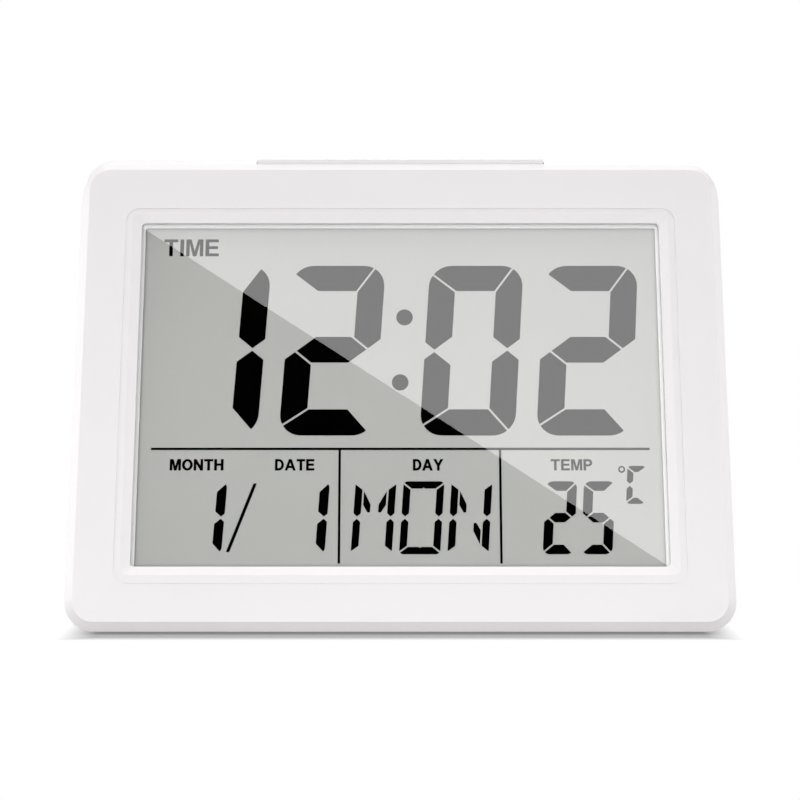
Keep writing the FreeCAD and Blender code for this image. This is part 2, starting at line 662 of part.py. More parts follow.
def outer_wedge():
    """The case's outer skin as one solid, front bevel included."""
    body = new_body("case_form")
    sketch = side_view(body, "case_side", "0", "bevel_back")
    pad(body, sketch, "case_across", "case_width", midplane=True)
    half = value("case_width / 2")
    base_line = value("foot_stand")

    def base_of(side):
        """The lengthwise base edge of one side; the round follows its tangent neighbours up to the top."""
        def chosen(edge):
            middle = edge.BoundBox.Center
            return abs(middle.x - side * half) < 1e-3 and edge.BoundBox.ZLength < 1e-3 \
                and abs(middle.z - base_line) < 1e-3
        return chosen

    round_edges(body, "right_corners", base_of(1), "case_corner")
    round_edges(body, "left_corners", base_of(-1), "case_corner")
    corners = body.Tip
    forward = FreeCAD.Vector(0, -value("cos(lean)"), value("sin(lean)"))
    face = [number for number, face in enumerate(body.Shape.Faces, 1)
            if face.Surface.TypeId == "Part::GeomPlane" and (face.normalAt(0, 0) - forward).Length < 1e-6]
    nose = body.newObject("PartDesign::Pad", "case_nose")
    nose.Profile = (corners, ["Face" + str(face[0])])
    bind(nose, "Length", "bevel_back + 1")
    doc.recompute()

    bevel = new_body("front_bevel")
    narrow = new_sketch(bevel, "bevel_front", "XZ_Plane")
    rounded_rectangle(narrow, face_width, "face_height", "face_corner")
    wide = new_sketch(bevel, "bevel_rear", "XZ_Plane", "0 - 2 * bevel_back")
    rounded_rectangle(wide, face_width + " + 4 * bevel_out", "face_height + 4 * bevel_out",
                      "face_corner + 2 * bevel_out")
    spread = bevel.newObject("PartDesign::AdditiveLoft", "bevel_spread")
    spread.Profile = narrow
    spread.Sections = [wide]
    spread.Ruled = True
    doc.recompute()
    body_block = new_sketch(bevel, "bevel_body", "XZ_Plane", "0 - 2 * bevel_back")
    rectangle(body_block, "case_width * 1.5", "face_height * 2")
    pad(bevel, body_block, "bevel_block", "case_depth * 3", backwards=True)
    lean_back(bevel)
    return common("case_outside", body, bevel)


case_outside = outer_wedge()


def inner_form(name, inset):
    """The case's hollow, `inset` inside its skin: its side, front and plan views run through each other."""
    side = new_body(name + "_side_form")
    pad(side, side_view(side, name + "_side", inset, "front_wall"), name + "_across",
        "case_width - 2 * (" + inset + ")", midplane=True)
    width = "case_width - 2 * (" + inset + ")"
    corner = "case_corner - (" + inset + ")"
    front = new_body(name + "_front_form")
    sketch = new_sketch(front, name + "_front", "XZ_Plane")
    rounded_rectangle(sketch, width, "case_top - foot_stand - 2 * (" + inset + ")", corner,
                      "0", "(case_top + foot_stand) / 2")
    pad(front, sketch, name + "_through", "case_depth * 2", midplane=True)
    plan = new_body(name + "_plan_form")
    sketch = new_sketch(plan, name + "_plan", "XY_Plane")
    rounded_rectangle(sketch, width, "case_depth * 1.5 - (" + inset + ")", corner,
                      "0", "(0 - case_depth * 0.25 - (" + inset + ") / 2)")
    pad(plan, sketch, name + "_upward", "case_top")
    form = doc.addObject("Part::MultiCommon", name)
    form.Shapes = [side, front, plan]
    return form


def leaned_slab(name, front, back):
    """All that lies between two depths behind the face."""
    body = new_body(name)
    sketch = new_sketch(body, name + "_area", "XZ_Plane", "0 - (" + front + ")")
    rectangle(sketch, "case_width * 1.5", "case_top * 2")
    pad(body, sketch, name + "_block", back + " - (" + front + ")", backwards=True)
    lean_back(body)
    return body


def leaned(name, pieces):
    """Pieces drawn in the face's frame, joined and leaned back."""
    joined = fuse(name, pieces) if len(pieces) > 1 else group(name, pieces)
    lean_back(joined)
    return joined


cavity = inner_form("cavity", "wall")
front_part = leaned_slab("front_part", "0 - case_depth", "parting_depth")

sides = (("right", ""), ("left", "0 - "))
post_x = "(case_width / 2 - post_inset)"
post_heights = {"low": "post_low", "mid": "post_mid", "high": "post_high"}
posts = [(side + "_" + level, sign + post_x, height) for side, sign in sides
         for level, height in post_heights.items()]


def post_meeting(height):
    """Y at which front and back posts meet."""
    return leaned_y("parting_depth", height)


# Window places, in the face's frame
window_width = "(groove_width - 2 * land_side - 2 * window_bevel)"
window_height = "(groove_height - 2 * land_end - 2 * window_bevel)"
window_middle = "(0 - window_drop)"
groove_middle = "(0 - window_drop - groove_drop)"
pane_width = "(" + window_width + " + 2 * pane_overlap)"
pane_height = "(" + window_height + " + 2 * pane_overlap)"
pane_corner = "(window_corner + pane_overlap)"
pane_depth = "(pane_seat + tape_thick)"
frame_depth = "(" + pane_depth + " + pane_thick + film_gap)"
glass_depth = "(" + frame_depth + " + frame_face)"
segment_depth = "(" + glass_depth + " + glass_thick)"
back_glass_depth = "(" + segment_depth + " + segment_thick)"
film_depth = "(" + back_glass_depth + " + back_glass_thick)"
guide_depth = "(" + film_depth + " + film_thick + film_gap)"
board_depth = "(" + guide_depth + " + guide_thick + board_gap)"
board_back = "(" + board_depth + " + board_thick)"
view_middle = "(0 - view_drop)"
glass_width = "(view_width + 2 * glass_margin)"
glass_height = "(view_height + 2 * glass_margin)"
frame_inner_width = "(" + glass_width + " + 2 * fit_gap)"
frame_inner_height = "(" + glass_height + " + ledge + 2 * fit_gap)"
frame_middle = "(" + view_middle + " - ledge / 2)"
frame_width = "(" + frame_inner_width + " + 2 * frame_side)"
frame_height = "(" + frame_inner_height + " + 2 * frame_side)"
ear_x = "(" + frame_width + " / 2 + ear_reach - ear_tall / 2)"
ear_depth = "(front_wall + ear_rise)"
ears = [(side + level, sign + ear_x, height) for side, sign in sides
        for level, height in (("_low", "(0 - ear_low)"), ("_high", "ear_high"))]


def window_cutter():
    """What the stepped window takes out of the face."""
    body = new_body("window_cutter")
    open_width = "groove_width - 2 * land_side"
    open_height = "groove_height - 2 * land_end"
    mouth = new_sketch(body, "window_mouth", "XZ_Plane")
    rounded_rectangle(mouth, open_width, open_height, "bevel_corner", "0", window_middle)
    throat = new_sketch(body, "window_throat", "XZ_Plane", "0 - window_sink")
    rounded_rectangle(throat, window_width, window_height, "window_corner", "0", window_middle)
    slope = body.newObject("PartDesign::AdditiveLoft", "window_slope")
    slope.Profile = mouth
    slope.Sections = [throat]
    slope.Ruled = True
    doc.recompute()
    through = new_sketch(body, "window_through", "XZ_Plane", "0 - window_sink")
    rounded_rectangle(through, window_width, window_height, "window_corner", "0", window_middle)
    pad(body, through, "window_hole", "front_wall", backwards=True)
    clear = new_sketch(body, "window_clear", "XZ_Plane")
    rounded_rectangle(clear, open_width, open_height, "bevel_corner", "0", window_middle)
    pad(body, clear, "window_front", "overrun")
    lean_back(body)
    return body


def groove_cutter():
    body = new_body("groove_cutter")
    sketch = new_sketch(body, "groove_ring", "XZ_Plane", "overrun")
    for sign in ("+", "-"):
        rounded_rectangle(sketch, "groove_width " + sign + " groove_cut",
                          "groove_height " + sign + " groove_cut",
                          "groove_corner " + sign + " groove_cut / 2", "0", groove_middle)
    pad(body, sketch, "groove_depth", "overrun + groove_deep", backwards=True)
    lean_back(body)
    return body


bar_front_y = "(" + bevel_y + " + bar_front)"
bar_back_y = "(" + bar_front_y + " + bar_depth)"
bar_middle_y = "(" + bar_front_y + " + bar_depth / 2)"
bar_top = "(case_top + bar_proud)"
bar_foot = "(" + bar_top + " - bar_skirt)"
shelf_top = "(case_top - shelf_drop)"
snooze_slot = box("snooze_slot",
                  ("0 - bar_width / 2 - bar_gap", bar_front_y + " - bar_gap", bar_foot),
                  ("bar_width + 2 * bar_gap", "bar_depth + 2 * bar_gap", "bar_skirt + 2 * overrun"))


def front_housing():
    shell = cut("front_shell", common("front_skin", case_outside, front_part), cavity)
    studs = []
    pilots = []
    for name, x_text, height in posts:
        root = leaned_y("front_wall / 2", height)
        tip = post_meeting(height)
        studs.append(cylinder("front_post_" + name, (x_text, root, height), "post_radius",
                              tip + " - " + root, "y"))
        pilots.append(cylinder("front_pilot_" + name, (x_text, tip + " - post_bite - 2 * fit_gap", height),
                               "screw_radius + thread_gap", "post_bite + 4 * fit_gap", "y"))
    bosses = []
    for name, x_text, height in ears:
        bosses.append(cylinder("ear_boss_" + name, (x_text, "front_wall / 2", height), "ear_boss",
                               ear_depth + " - front_wall / 2", "y"))
    ear_holes = [cylinder("ear_pilot_" + name, (x_text, "pilot_floor", height),
                          "short_screw + thread_gap", ear_depth, "y") for name, x_text, height in ears]
    seat = plate("pane_seat_cut", pane_width + " + 2 * fit_gap", pane_height + " + 2 * fit_gap",
                 pane_corner + " + fit_gap", "pane_seat", "front_wall - pane_seat + fit_gap", window_middle)
    solid = fuse("front_solid", [shell, leaned("ear_bosses", bosses)] + studs)
    tools = fuse("front_tools",
                 [window_cutter(), seat, groove_cutter(), snooze_slot, leaned("ear_pilots", ear_holes)]
                 + pilots)
    return cut("front_housing", solid, tools)


def keep(thing):
    """One sub-part of the clock, written to a file of its own name."""
    thing.Label = thing.Name
    parts.append(thing)
    return thing


parts = []
keep(front_housing())

keep(frame_plate("window_adhesive",
                 (pane_width + " - 2 * tape_set", pane_height + " - 2 * tape_set",
                  pane_corner + " - tape_set"),
                 (pane_width + " - 2 * tape_set - 2 * tape_wide",
                  pane_height + " - 2 * tape_set - 2 * tape_wide",
                  "window_corner"),
                 "pane_seat", "tape_thick", window_middle))
keep(plate("display_window", pane_width, pane_height, pane_corner, pane_depth, "pane_thick", window_middle))
keep(plate("lcd_front_glass", glass_width, glass_height + " + ledge", "glass_corner", glass_depth,
           "glass_thick",
           frame_middle))
keep(plate("lcd_rear_glass", glass_width, glass_height, "glass_corner", back_glass_depth,
           "back_glass_thick",
           view_middle))
layer_width = "(" + glass_width + " - 2 * layer_inset)"
layer_height = "(" + glass_height + " - 2 * layer_inset)"
keep(plate("lcd_reflector_film", layer_width, layer_height, "glass_corner", film_depth, "film_thick",
           view_middle))


def display_frame():
    """The white rim round the display: front flange, side walls and four screw ears."""
    flange = frame_plate("frame_flange", (frame_width, frame_height, "frame_corner"),
                         ("view_width", "view_height", "view_corner"), frame_depth, "frame_face",
                         frame_middle, view_middle)
    walls = frame_plate("frame_walls", (frame_width, frame_height, "frame_corner"),
                        (frame_inner_width, frame_inner_height, "view_corner"),
                        glass_depth, board_depth + " - " + glass_depth, frame_middle)
    blocks = []
    holes = []
    for name, x_text, height in ears:
        blocks.append(box("frame_ear_" + name,
                          (x_text + " - ear_tall / 2", ear_depth, height + " - ear_tall / 2"),
                          ("ear_tall", board_depth + " - " + ear_depth, "ear_tall")))
        holes.append(cylinder("frame_hole_" + name, (x_text, ear_depth + " - overrun", height),
                              "short_screw + fit_gap", "case_depth", "y"))
    inside = plate("frame_inside", frame_inner_width, frame_inner_height, "view_corner", glass_depth,
                   "case_depth", frame_middle)
    solid = fuse("frame_solid", [flange, walls, leaned("frame_ears", blocks)])
    tools = fuse("frame_tools", [inside, leaned("frame_holes", holes)])
    return cut("display_frame", solid, tools)


keep(display_frame())

guide_end = "(" + layer_width + " / 2)"


def light_guide():
    """A clear plate behind the film, notched at one end for the lamp."""
    whole = plate("guide_plate", layer_width, layer_height, "glass_corner", guide_depth, "guide_thick",
                  view_middle)
    notch = box("guide_notch", (guide_end + " - notch_long", guide_depth + " - overrun",
                                view_middle + " - notch_side / 2"),
                ("notch_long + overrun", "guide_thick + 2 * overrun", "notch_side"))
    return cut("light_guide", whole, leaned("guide_notch_leaned", [notch]))


def backlight_led():
    """The lamp on the display board: its body and the lens that faces the guide."""
    base = board_depth + " - lamp_deep - board_gap + lamp_step"
    block = box("lamp_block",
                (guide_end + " - lamp_long - lamp_step", base, view_middle + " - lamp_side / 2"),
                ("lamp_long", "lamp_deep + board_gap - lamp_step", "lamp_side"))
    lens = box("lamp_lens", (guide_end + " - lamp_long - 2 * lamp_step", base + " + lamp_step",
                             view_middle + " - lens_side / 2"),
               ("2 * lamp_step", "lens_deep", "lens_side"))
    return leaned("backlight_led", [block, lens])


keep(light_guide())
keep(backlight_led())

board_width = "(" + frame_width + " - 2 * fit_gap)"
board_low = "(" + frame_middle + " - " + frame_height + " / 2 + fit_gap)"


def display_board():
    """The board behind the display, with an ear at each screw."""
    middle = "((board_high + " + board_low + ") / 2)"
    whole = plate("display_board_plate", board_width, "board_high - " + board_low, "board_corner",
                  board_depth,
                  "board_thick", middle)
    tabs = []
    holes = []
    for name, x_text, height in ears:
        tabs.append(box("board_tab_" + name, (x_text + " - ear_tall / 2", board_depth,
                                              height + " - ear_tall / 2 + tab_ease"),
                        ("ear_tall", "board_thick", "ear_tall - 2 * tab_ease")))
        holes.append(cylinder("board_hole_" + name, (x_text, board_depth + " - overrun", height),
                              "short_screw + fit_gap", "board_thick + 2 * overrun", "y"))
    return cut("display_board", fuse("display_board_solid", [whole, leaned("board_tabs", tabs)]),
               leaned("board_holes", holes))


keep(display_board())
strip_height = "(" + frame_middle + " - " + frame_inner_height + " / 2 + ledge / 2)"
keep(leaned("connector_strip", [
    box("strip_block",
        ("0 - view_width / 2 + strip_inset", segment_depth, strip_height + " - strip_wide / 2"),
        ("view_width - 2 * strip_inset", board_depth + " - " + segment_depth, "strip_wide"))]))
chip_z = "(0 - chip_drop)"
keep(leaned("controller_chip", [
    cylinder("chip_skirt", ("chip_place", board_back, chip_z), "chip_radius", "chip_thick", "y"),
    cylinder("chip_crown", ("chip_place", board_back + " + chip_thick / 2", chip_z),
             "chip_radius - crown_inset",
             "chip_thick / 2 + crown_thick", "y")]))
keep(leaned("quartz_crystal", [
    cylinder("crystal_can", ("0 - crystal_place", board_back + " + crystal_rise", chip_z), "crystal_radius",
             "crystal_long", "z"),
    box("crystal_foot_block",
        ("0 - crystal_place - crystal_foot / 2", board_back, chip_z + " - crystal_base / 2"),
        ("crystal_foot", "crystal_rise + crystal_radius / 4", "crystal_base"))]))


def circuit_components():
    """Chip resistors and capacitors on the back of the display board."""
    blocks = []
    for number in range(12):
        column = number % 6
        row = number // 6
        blocks.append(box("component_" + str(number),
                          ("0 - chip_part_place + " + str(column) + " * chip_part_pitch", board_back,
                           chip_z + " - chip_part_drop - " + str(row) + " * chip_row_pitch"),
                          ("chip_part_long", "chip_part_thick", "chip_part_wide")))
    node = group("circuit_components", blocks)
    lean_back(node)
    return node


keep(circuit_components())


def cross_slots(name, place, reach):
    """The cross recess of a screw whose head's outer face is cut from `place` on."""
    x_text, y_text, z_text = place
    return fuse(name, [box(name + turn, (x_text + " - " + across, y_text, z_text + " - " + up),
                           ("2 * " + across, "case_depth", "2 * " + up))
                       for turn, across, up in (("_flat", reach, "cross_wide"),
                                                ("_tall", "cross_wide", reach))])


def leaned_screws(name, places, head_depth, under):
    """Pan-head screws along the face's depth, heads at `head_depth`, points towards the face."""
    made = []
    for place_name, x_text, height in places:
        shank = cylinder(name + "_shank_" + place_name, (x_text, head_depth + " - (" + under + ")", height),
                         "short_screw", under, "y")
        head = cylinder(name + "_head_" + place_name, (x_text, head_depth, height), "short_head",
                        "short_head_thick", "y")
        cross = cross_slots(name + "_cross_" + place_name,
                            (x_text, head_depth + " + short_head_thick - cross_deep", height),
                            "short_cross")
        made.append(cut(name + "_" + place_name, fuse(name + "_solid_" + place_name, [shank, head]), cross))
    return made


display_screws = group("display_screws", leaned_screws(
    "display_screw", ears, board_back, board_back + " - pilot_floor - 2 * fit_gap"))
lean_back(display_screws)
keep(display_screws)


# Segments of the display: thin dark pads between the glasses

def slanted(points, lean_over, middle):
    """Points sheared to the right by the characters' slant, about the height `middle`."""
    return [(x + (z - middle) * lean_over, z) for x, z in points]


def segment_solid(points, front, thick):
    corners = [FreeCAD.Vector(x, front, z) for x, z in points]
    face = Part.Face(Part.makePolygon(corners + corners[:1]))
    return face.extrude(FreeCAD.Vector(0, thick, 0))


def seven_segments(width, height, bar, gap, corner, cuts, lit):
    """Outlines of the lit segments, a to g, of one upright character round its own middle."""
    side = width / 2
    top = height / 2
    half = bar / 2
    nip = gap * 0.7
    slope = cuts["slope"]
    rise = gap / 2 / math.cos(math.atan(slope))
    signs = {"top right": (1, 1), "low right": (1, -1), "low left": (-1, -1), "top left": (-1, 1)}
    points = {sign: (sign * (side - bar * cuts[name][0]), bar * cuts[name][1])
              for sign, name in ((-1, "left point"), (1, "right point"))}

    def bend(place, start, end):
        """Points round an outer corner, from one angle off the level to another."""
        sign_x, sign_z = signs[place]
        steps = [math.radians(start + (end - start) * step / 5) for step in range(6)]
        return [(sign_x * (side - corner + corner * math.cos(turn)),
                 sign_z * (top - corner + corner * math.sin(turn))) for turn in steps]

    edge = math.degrees(gap / 2 / corner)

    def level(place_left, place_right, sign_z):
        """Top or bottom segment, drawn from its left end over the outer edge."""
        left = bend(place_left, cuts[place_left] + edge, 90)
        right = bend(place_right, 90, cuts[place_right] + edge)
        inner = sign_z * (top - bar)
        nick = cuts["nick"]
        notch = [(nick, inner), (0, inner + sign_z * nick), (-nick, inner)] if nick else []
        return left + right + [(side - bar - nip, inner)] + notch + [(bar + nip - side, inner)]

    def upright(place, sign_x, sign_z):
        """A side segment, drawn from its outer corner to its point at mid height."""
        point_x, point_z = points[sign_x]
        ends = [(x, point_z + sign_z * (rise + slope * abs(x - point_x)))
                for x in (sign_x * side, point_x, sign_x * (side - bar))]
        return bend(place, cuts[place] - edge, 0) + ends + [(sign_x * (side - bar),
                                                             sign_z * (top - bar - nip))]

    def shoulder(sign_x, sign_z):
        """Corner of the middle segment, by its point at one end."""
        point_x, point_z = points[sign_x]
        return (point_x - sign_x * (rise + half - sign_z * point_z) / slope, sign_z * half)

    left_x, left_z = points[-1]
    right_x, right_z = points[1]
    shapes = {"a": level("top left", "top right", 1), "d": level("low left", "low right", -1),
              "b": upright("top right", 1, 1), "c": upright("low right", 1, -1),
              "e": upright("low left", -1, -1), "f": upright("top left", -1, 1),
              "g": [(left_x + rise / slope, left_z), shoulder(-1, 1), shoulder(1, 1),
                    (right_x - rise / slope, right_z), shoulder(1, -1), shoulder(-1, -1)]}
    # the letters' inner slanting segments: upper left, upper right and lower right
    near = bar + gap - side
    slant = [(near, top * 0.73), (near + bar, top * 0.36), (near + bar, top * 0.15),
             (near + bar * 0.65, top * 0.14), (near, top * 0.35)]
    shapes["h"] = slant
    shapes["j"] = [(-x, z) for x, z in slant]
    shapes["m"] = [(-x, -z) for x, z in slant]
    return [shapes[letter] for letter in lit]


def segment_node(name, solids):
    """A group of segments as one node in the face's frame."""
    node = doc.addObject("Part::Feature", name)
    node.Shape = Part.makeCompound(solids)
    lean_back(node)
    return node


def characters(places, width, height, bar, gap, corner, cuts, middle):
    """Solids of the characters whose (centre, lit segments) are given, on one line."""
    lean_over = math.tan(math.radians(value("slant")))
    solids = []
    for centre, lit in places:
        for points in seven_segments(width, height, bar, gap, corner, cuts, lit):
            moved = [(x + centre, z + middle) for x, z in points]
            solids.append(segment_solid(slanted(moved, lean_over, middle), value(segment_depth),
                                        value("segment_thick")))
    return solids


def disc(x, z, radius, hole=0):
    """A round dot of the segment layer, with a hole if asked."""
    front = FreeCAD.Vector(x, value(segment_depth), z)
    inward = FreeCAD.Vector(0, 1, 0)
    dot = Part.makeCylinder(radius, value("segment_thick"), front, inward)
    if hole:
        dot = dot.cut(Part.makeCylinder(hole, value("segment_thick"), front, inward))
    return dot


# Where characters are cut: in degrees off the level at their outer corners, and at mid height by cuts of
# one slope through a point at each side, given in bars in from the outer edge and above the middle.
TIME_CUTS = {"top right": 60, "low right": 48, "low left": 31, "top left": 34, "slope": 0.79,
             "left point": (0.36, -0.045), "right point": (0.45, 0.012), "nick": 0}
SMALL_CUTS = {"top right": 44, "low right": 46, "low left": 39, "top left": 30, "slope": 0.85,
              "left point": (0.4, 0), "right point": (0.37, 0), "nick": 0}
LETTER_CUTS = {"top right": 28, "low right": 28, "low left": 28, "top left": 28, "slope": 0.92,
               "left point": (0.5, 0), "right point": (0.5, 0), "nick": value("letter_nick")}

LIT = {"0": "abcdef", "1": "bc", "2": "abged", "5": "afgcd", "C": "adef",
       "M": "bcefhj", "O": "abcdef", "N": "bcefhm"}


def time_digits():
    width = value("time_width")
    pitch = value("time_pitch")
    middle = value("time_rise")
    hours = value("hour_place")
    minutes = value("minute_place")
    places = [(hours - pitch, LIT["1"]), (hours, LIT["2"]), (minutes, LIT["0"]),
              (minutes + pitch, LIT["2"])]
    solids = characters(places, width, value("time_height"), value("time_bar"), value("segment_gap"),
                        value("time_corner"), TIME_CUTS, middle)
    colon_x = (hours + minutes) / 2
    for rise in (value("colon_rise"), -value("colon_rise")):
        x = colon_x + rise * math.tan(math.radians(value("slant")))
        solids.append(disc(x, middle + rise, value("colon_radius")))
    return segment_node("lcd_time_digits", solids)


def calendar_digits():
    """Month, date and day of the week."""
    middle = -value("small_drop")
    height = value("small_height")
    gap = value("small_gap")
    numbers = [(value("month_place"), LIT["1"]), (value("date_place"), LIT["1"])]
    solids = characters(numbers, value("small_width"), height, value("small_bar"), gap,
                        value("small_corner"), SMALL_CUTS, middle)
    day = value("day_place")
    step = value("letter_pitch")
    letters = [(day - step, LIT["M"]), (day, LIT["O"]), (day + step, LIT["N"])]
    solids += characters(letters, value("letter_width"), height, value("letter_bar"), gap,
                         value("letter_corner"), LETTER_CUTS, middle)
    return segment_node("lcd_calendar_digits", solids)


def temperature_digits():
    """Two digits, the degree ring and a small C."""
    middle = -value("small_drop")
    gap = value("small_gap")
    centre = value("temperature_place")
    step = value("small_pitch")
    places = [(centre - step / 2, LIT["2"]), (centre + step / 2, LIT["5"])]
    solids = characters(places, value("small_width"), value("small_height"), value("small_bar"), gap,
                        value("small_corner"), SMALL_CUTS, middle)
    unit_bar = value("unit_bar")
    unit_middle = middle + value("unit_rise")
    unit_height = value("unit_height")
    solids += characters([(value("unit_place"), LIT["C"])], value("unit_width"), unit_height, unit_bar,
                         gap, value("unit_corner"), LETTER_CUTS | {"nick": 0}, unit_middle)
    ring = unit_bar * 0.58
    solids.append(disc(value("unit_place") - value("unit_width") * 0.76,
                       unit_middle + unit_height / 2 - ring, ring,
                       ring * 0.56))
    return segment_node("lcd_temperature_digits", solids)


def rules():
    """The rules between the fields and the slash between month and date."""
    half = value("rule_thick") / 2
    low = -value("rule_drop")
    reach = value("rule_reach")
    foot = low - value("rule_tall")
    outlines = [[(-reach, low - half), (reach, low - half), (reach, low + half), (-reach, low + half)]]
    for x in (value("left_rule"), value("right_rule")):
        outlines.append([(x - half, foot), (x + half, foot), (x + half, low - half),
                         (x - half, low - half)])
    middle = -value("small_drop")
    stretch = value("slash_height") / 2
    sway = stretch * math.tan(math.radians(value("slash_lean")))
    slash = value("slash_place")
    wide = value("slash_thick") / 2
    outlines.append([(slash - sway - wide, middle - stretch), (slash - sway + wide, middle - stretch),
                     (slash + sway + wide, middle + stretch), (slash + sway - wide, middle + stretch)])
    return segment_node("lcd_rules", [segment_solid(points, value(segment_depth), value("segment_thick"))
                                      for points in outlines])


for make in (time_digits, calendar_digits, temperature_digits, rules):
    keep(make())


# Back housing and what it carries

bay_width = "(cell_length + contact_room)"
bay_height = "(4 * cell_radius + 2 * cell_play)"
bay_depth = "(2 * cell_radius + cell_play)"
bay_top = "(bay_low + " + bay_height + ")"
seat_depth = "(door_thick + fit_gap)"
seat_y = "(" + back_y + " - " + seat_depth + ")"
seat_low = "(bay_low - door_edge)"
seat_width = "(" + bay_width + " + 2 * door_edge)"
seat_height = "(" + bay_height + " + 2 * door_edge)"
hinge_y = "(" + back_y + " - door_thick / 2)"
hinge_z = "(" + seat_low + " + door_gap + door_thick / 2)"
panel_floor = "(" + back_y + " - panel_sink)"
key_top = "(" + back_y + " - key_inset)"
key_lip_y = "(" + inner_back + " - fit_gap)"
stem_tip = "(" + key_lip_y + " - key_lip_thick - stem_long)"
switch_face = "(" + stem_tip + " - key_travel - switch_play - switch_cap_high)"
key_board_y = "(" + switch_face + " - switch_thick)"
key_board_front = "(" + key_board_y + " - board_thick)"
keys = ["time", "alarm", "up", "down", "unit"]
key_places = {key: "((" + str(2 - number) + ") * key_pitch)" for number, key in enumerate(keys)}
sounder_y = "(" + inner_back + " - sounder_thick)"
foot_lines = (("front", "(foot_front - case_depth / 2)"), ("back", "(case_depth / 2 - foot_back)"))
feet = [(side + "_" + end, sign + "(case_width / 2 - foot_inset)", y_text)
        for side, sign in sides for end, y_text in foot_lines]
key_posts = [(side + level, sign + "key_board_post", "key_height " + rise + " key_board_rise")
             for side, sign in sides for level, rise in (("_low", "-"), ("_high", "+"))]
seats = {"right": "spring_spread", "middle": "0", "left": "(0 - spring_spread)"}


def back_plate(body, name, width, height, radius, x_text, z_text, start, thick):
    """A rounded rectangle facing the back, from Y `start` on."""
    sketch = new_sketch(body, name + "_outline", "XZ_Plane", "0 - (" + start + ")")
    rounded_rectangle(sketch, width, height, radius, x_text, z_text)
    return pad(body, sketch, name, thick, backwards=True)


def key_cutter():
    """The sunk panel, the button holes and the switch slot."""
    panel = new_body("panel_cutter")
    back_plate(panel, "panel_sunk", "panel_width", "panel_height", "panel_corner", "panel_place",
               "key_height",
               panel_floor, "panel_sink + overrun")
    pieces = [panel]
    for key in keys:
        hole = new_body(key + "_hole")
        back_plate(hole, key + "_opening", "key_width + 2 * key_gap", "key_tall + 2 * key_gap",
                   "key_corner + key_gap", key_places[key], "key_height", inner_back + " - overrun",
                   "wall + 2 * overrun")
        pieces.append(hole)
    pieces.append(box("slider_slot", ("slider_place - slider_wide / 2 - slider_travel / 2 - key_gap",
                                      inner_back + " - overrun", "key_height - slider_tall / 2 - key_gap"),
                      ("slider_wide + slider_travel + 2 * key_gap", "wall + 2 * overrun",
                       "slider_tall + 2 * key_gap")))
    return fuse("key_cutter", pieces)


def locating_lip():
    """A thin wall that runs inside the front housing's edge."""
    ahead = common("lip_ahead", inner_form("lip_skin", "wall + fit_gap"),
                   leaned_slab("lip_front", "parting_depth - lip_height", "parting_depth + overrun"))
    root = common("lip_root_ring", inner_form("lip_root", "wall / 2"),
                  leaned_slab("lip_back", "parting_depth", "parting_depth + lip_height"))
    ring = cut("lip_ring", fuse("lip_whole", [ahead, root]),
               inner_form("lip_inside", "wall + fit_gap + lip_thick"))
    clearance = box("lip_clearance",
                    ("0 - bar_width / 2 - flange_out - lip_clear", "0 - case_depth", "case_top / 2"),
                    ("bar_width + 2 * flange_out + 2 * lip_clear", "case_depth * 2", "case_top"))
    return cut("locating_lip", ring, clearance)


